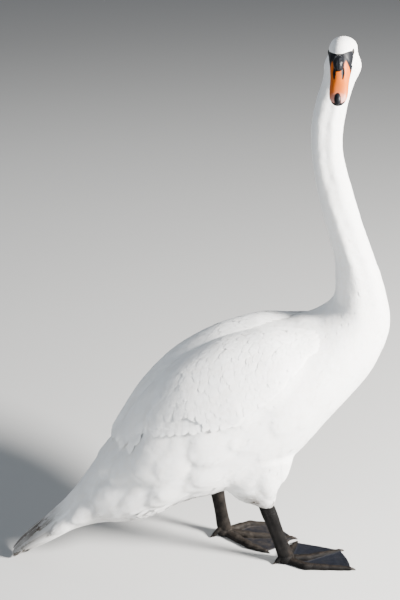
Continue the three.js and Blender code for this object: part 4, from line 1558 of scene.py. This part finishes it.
def leg_object(side):
    """Shank, toes and webs as one piece."""
    leg = LEGS[side]
    ankle, joint = leg["ankle"], leg["joint"]
    shapes = [tube(shank_rings(leg))]
    shapes += [tube(tube_rings(*toe_line(leg, toe))) for toe in leg["toes"].values()]
    shapes += [web_shell(leg, "inner", "middle"), web_shell(leg, "middle", "outer")]
    ball, _ = ball_points((*joint[:2], TOE_BALL["height"]), TOE_BALL["radii"], 0, 28, 36)
    shapes.append((ball, tube_faces(28, 36)))
    hind = np.linspace(joint + [0, 0, HIND_TOE["rise"]], [*leg["hind"], HIND_TOE["tip"]], 16)
    shapes.append(tube(tube_rings(hind, np.linspace(HIND_TOE["root"], HIND_TOE["tip"], 16))))
    obj = fused(side + "_leg", shapes, LEG_VOXEL)
    set_co(obj, smoothed(obj, co_of(obj), 6))

    co, normal = co_of(obj), normals_of(obj)
    axis = unit(joint - ankle)
    share = (co - ankle) @ axis / length_of(joint - ankle)
    run = share * length_of(joint - ankle)
    shank = (length_of(np.cross(co - ankle, axis)) < SHANK_REACH) * ease(-share, -0.93, -0.8)
    # scutes across the front of the shank and wrinkles at the ankle
    turn = math.radians(leg["turn"])
    front = normal @ np.array([math.cos(turn), math.sin(turn), 0])
    height = scutes(run + 0.8 * waves(co, 14, 71), 6.2, 0.75) * 0.42 * shank * ease(front, 0.1, 0.7)
    creases = np.sin(2 * math.pi * (run + 1.6 * waves(co, 16, 72)) / 4.4)
    height += 0.38 * creases * ease(-share, -0.34, -0.1) * shank
    # a groove down each side of the shank
    flank = normal @ np.array([-math.sin(turn), math.cos(turn), 0])
    height -= 0.9 * bell(front, -0.15, 0.2) * ease(np.abs(flank), 0.7, 0.95) * shank
    # lighter brown on the toes' tops and the shank's front: partly their own colour, partly painted highlight
    ridge = np.zeros(len(co))
    uneven = 0.5 * waves(co, 9, 73)
    for toe in leg["toes"].values():
        line, radius = toe_line(leg, toe, 90)
        gap = length_of(co[:, None, :2] - line[None, :, :2])
        index = gap.argmin(1)
        near, s, radius = gap.min(1), index * length_of(line[1] - line[0]), radius[index]
        on_top = ease(radius * 0.9 - near, -1, 1.5) * ease(normal[:, 2], 0.1, 0.6) * ease(-co[:, 2], -20, -17)
        height += scutes(s + uneven, 3.6, 0.7) * 0.36 * on_top * (1 - shank)
        ridge = np.maximum(ridge, ease(radius * 0.85 - near, -1, 3) * ease(co[:, 2], 4, 9) * (1 - shank))
    height += 0.10 * waves(co, 4.5, 74) + 0.07 * waves(co, 2.6, 75)
    co = co + normal * height[:, None]
    co[:, 2] = np.maximum(co[:, 2], LEAST_HEIGHT)
    set_co(obj, co)
    # bluish grey on the webs' upper faces only: partly their colour, partly a painted sky reflection
    mark(obj, web=ease(-co[:, 2], -6.4, -4.6) * (1 - ridge) * ease(normal[:, 2], 0.3, 0.8),
         ridge=np.maximum(ridge, shank * ease(front, 0.5, 0.95) * 0.6 * ease(share, 0.35, 0.7)),
         worn=leg["worn"] * (0.8 + 0.3 * waves(co, 24, 76)))
    finish(obj, LEG, "leg", "tarsus_" + side, "foot_" + side)


def leg_material():
    mat, n = material("leg_skin", (0.02, 0.02, 0.022), 0.5, Specular_IOR_Level=0.05)
    base = n.speckled(90, 4, 0.35, 0.7, (0.0014, 0.0014, 0.0016), (0.0036, 0.0034, 0.0034))
    # lighter brown on toe tops and the shank's front, partly painted highlight
    ridge = n.math("MULTIPLY", n.number("ridge"), n.span(n.noise(160, 4), 0.35, 0.6))
    # bluish grey of the webs' tops, partly a painted sky reflection
    webbed = n.mix(n.number("web"), n.mix(ridge, base, (0.0085, 0.0066, 0.0054)), (0.004, 0.0048, 0.0073))
    dust = n.math("MULTIPLY", n.number("worn"), n.span(n.noise(120, 5, 0.65), 0.3, 0.7))
    n.link(n.mix(dust, webbed, (0.026, 0.022, 0.0185)), n.inputs["Base Color"])
    n.link(n.span(n.noise(260, 3), 0.3, 0.7, 0.5, 0.7), n.inputs["Roughness"])
    cells = n.new("ShaderNodeTexVoronoi", Scale=330.0, feature="DISTANCE_TO_EDGE")
    n.link(n.place(), cells.inputs["Vector"])
    scales = n.span(cells.outputs["Distance"], 0, 0.12)
    n.bump(n.math("ADD", scales, n.math("MULTIPLY", n.noise(1200, 3), 0.6)), 0.45, 0.0005)
    return mat


def claw(name, before, end, length, root, rise=0):
    """A curved claw on a toe that runs from before to end: its length, root's radius, and its tip's lift."""
    tip = end + unit((end - before) * [1, 1, 0]) * length
    tip[2] = CLAW["tip"] + rise
    s = np.linspace(0, 1, 30)
    line = end + (tip - end) * s[:, None]
    line[:, 2] += np.sin(s * math.pi) * length_of(tip - end) * 0.1
    rings = tube_rings(line, root + (CLAW["tip"] - root) * s ** 1.4, 32)
    rings[..., 2] = np.maximum(rings[..., 2], LEAST_HEIGHT)
    finish(faces_object("talon_" + name, *tube(rings)), CLAW_HORN, "horn", "claw_" + name)


LEG = leg_material()
CLAW_HORN = horn_material("claw_horn", (0.006, 0.005, 0.0045), (0.035, 0.028, 0.023))
for side, leg in LEGS.items():
    leg_object(side)
    for name, toe in leg["toes"].items():
        _, bend, end = toe_points(leg, toe)
        claw(f"{name}_{side}", bend, end, CLAW["length"], CLAW["root"])
    end = np.array([*leg["hind"], HIND_TOE["tip"]])
    claw("hind_" + side, leg["joint"], end, CLAW["hind_length"], CLAW["hind_root"], CLAW["hind_rise"])

# ---- floor, light and camera

CAMERA = {"at": (-298.6, -2579.1, 1605.1), "azimuth": -4, "down": 22, "lens": 86.4, "sensor": 36}
BIRD_MIDDLE = Vector((0.05, 0, 0.6))
# Direction from the bird's middle, distance and size (m), watts, colour.
LIGHTS = {
    "key": ((0.95, -0.58, 0.44), 3.4, 0.8, 1400, (1, 0.97, 0.93)),
    "fill": ((-0.7, -1, 0.3), 4.0, 3.0, 95, (0.80, 0.90, 1)),
    "back": ((-0.5, 1, 0.9), 3.5, 2.2, 40, (0.9, 0.95, 1)),
}
SKY = {"color": (0.73, 0.815, 0.945, 1), "strength": 0.27}
FLOOR_REACH = 12


def aimed(at, direction, axis):
    """The matrix of a thing at a place, with its own axis along a direction."""
    return Matrix.Translation(at) @ direction.to_track_quat(axis, "Y").to_matrix().to_4x4()


for name, (toward, distance, size, watts, color) in LIGHTS.items():
    data = bpy.data.lights.new(name, "AREA")
    data.shape, data.size, data.energy, data.color = "DISK", size, watts, color
    direction = Vector(toward).normalized()
    linked(name, data).matrix_world = aimed(BIRD_MIDDLE + direction * distance, direction, "Z")

world = bpy.data.worlds.new("studio")
world.use_nodes = True
sky = world.node_tree.nodes["Background"].inputs
sky["Color"].default_value, sky["Strength"].default_value = SKY["color"], SKY["strength"]
bpy.context.scene.world = world

data = bpy.data.cameras.new("camera")
data.lens, data.sensor_width = CAMERA["lens"], CAMERA["sensor"]
camera = linked("camera", data)
azimuth, down = math.radians(CAMERA["azimuth"]), math.radians(CAMERA["down"])
forward = Vector((-math.sin(azimuth) * math.cos(down), math.cos(azimuth) * math.cos(down), -math.sin(down)))
camera.matrix_world = aimed((Vector(CAMERA["at"]) + Vector(SHIFT)) / 1000, forward, "-Z")
bpy.context.scene.camera = camera

corners = np.array([(-1, -1, 0), (1, -1, 0), (1, 1, 0), (-1, 1, 0)]) * FLOOR_REACH
mesh = bpy.data.meshes.new("floor")
mesh.from_pydata(corners.tolist(), [], [(0, 1, 2, 3)])
floor = linked("floor", mesh)
mesh.materials.append(material("floor", (0.32, 0.32, 0.315), 0.9)[0])
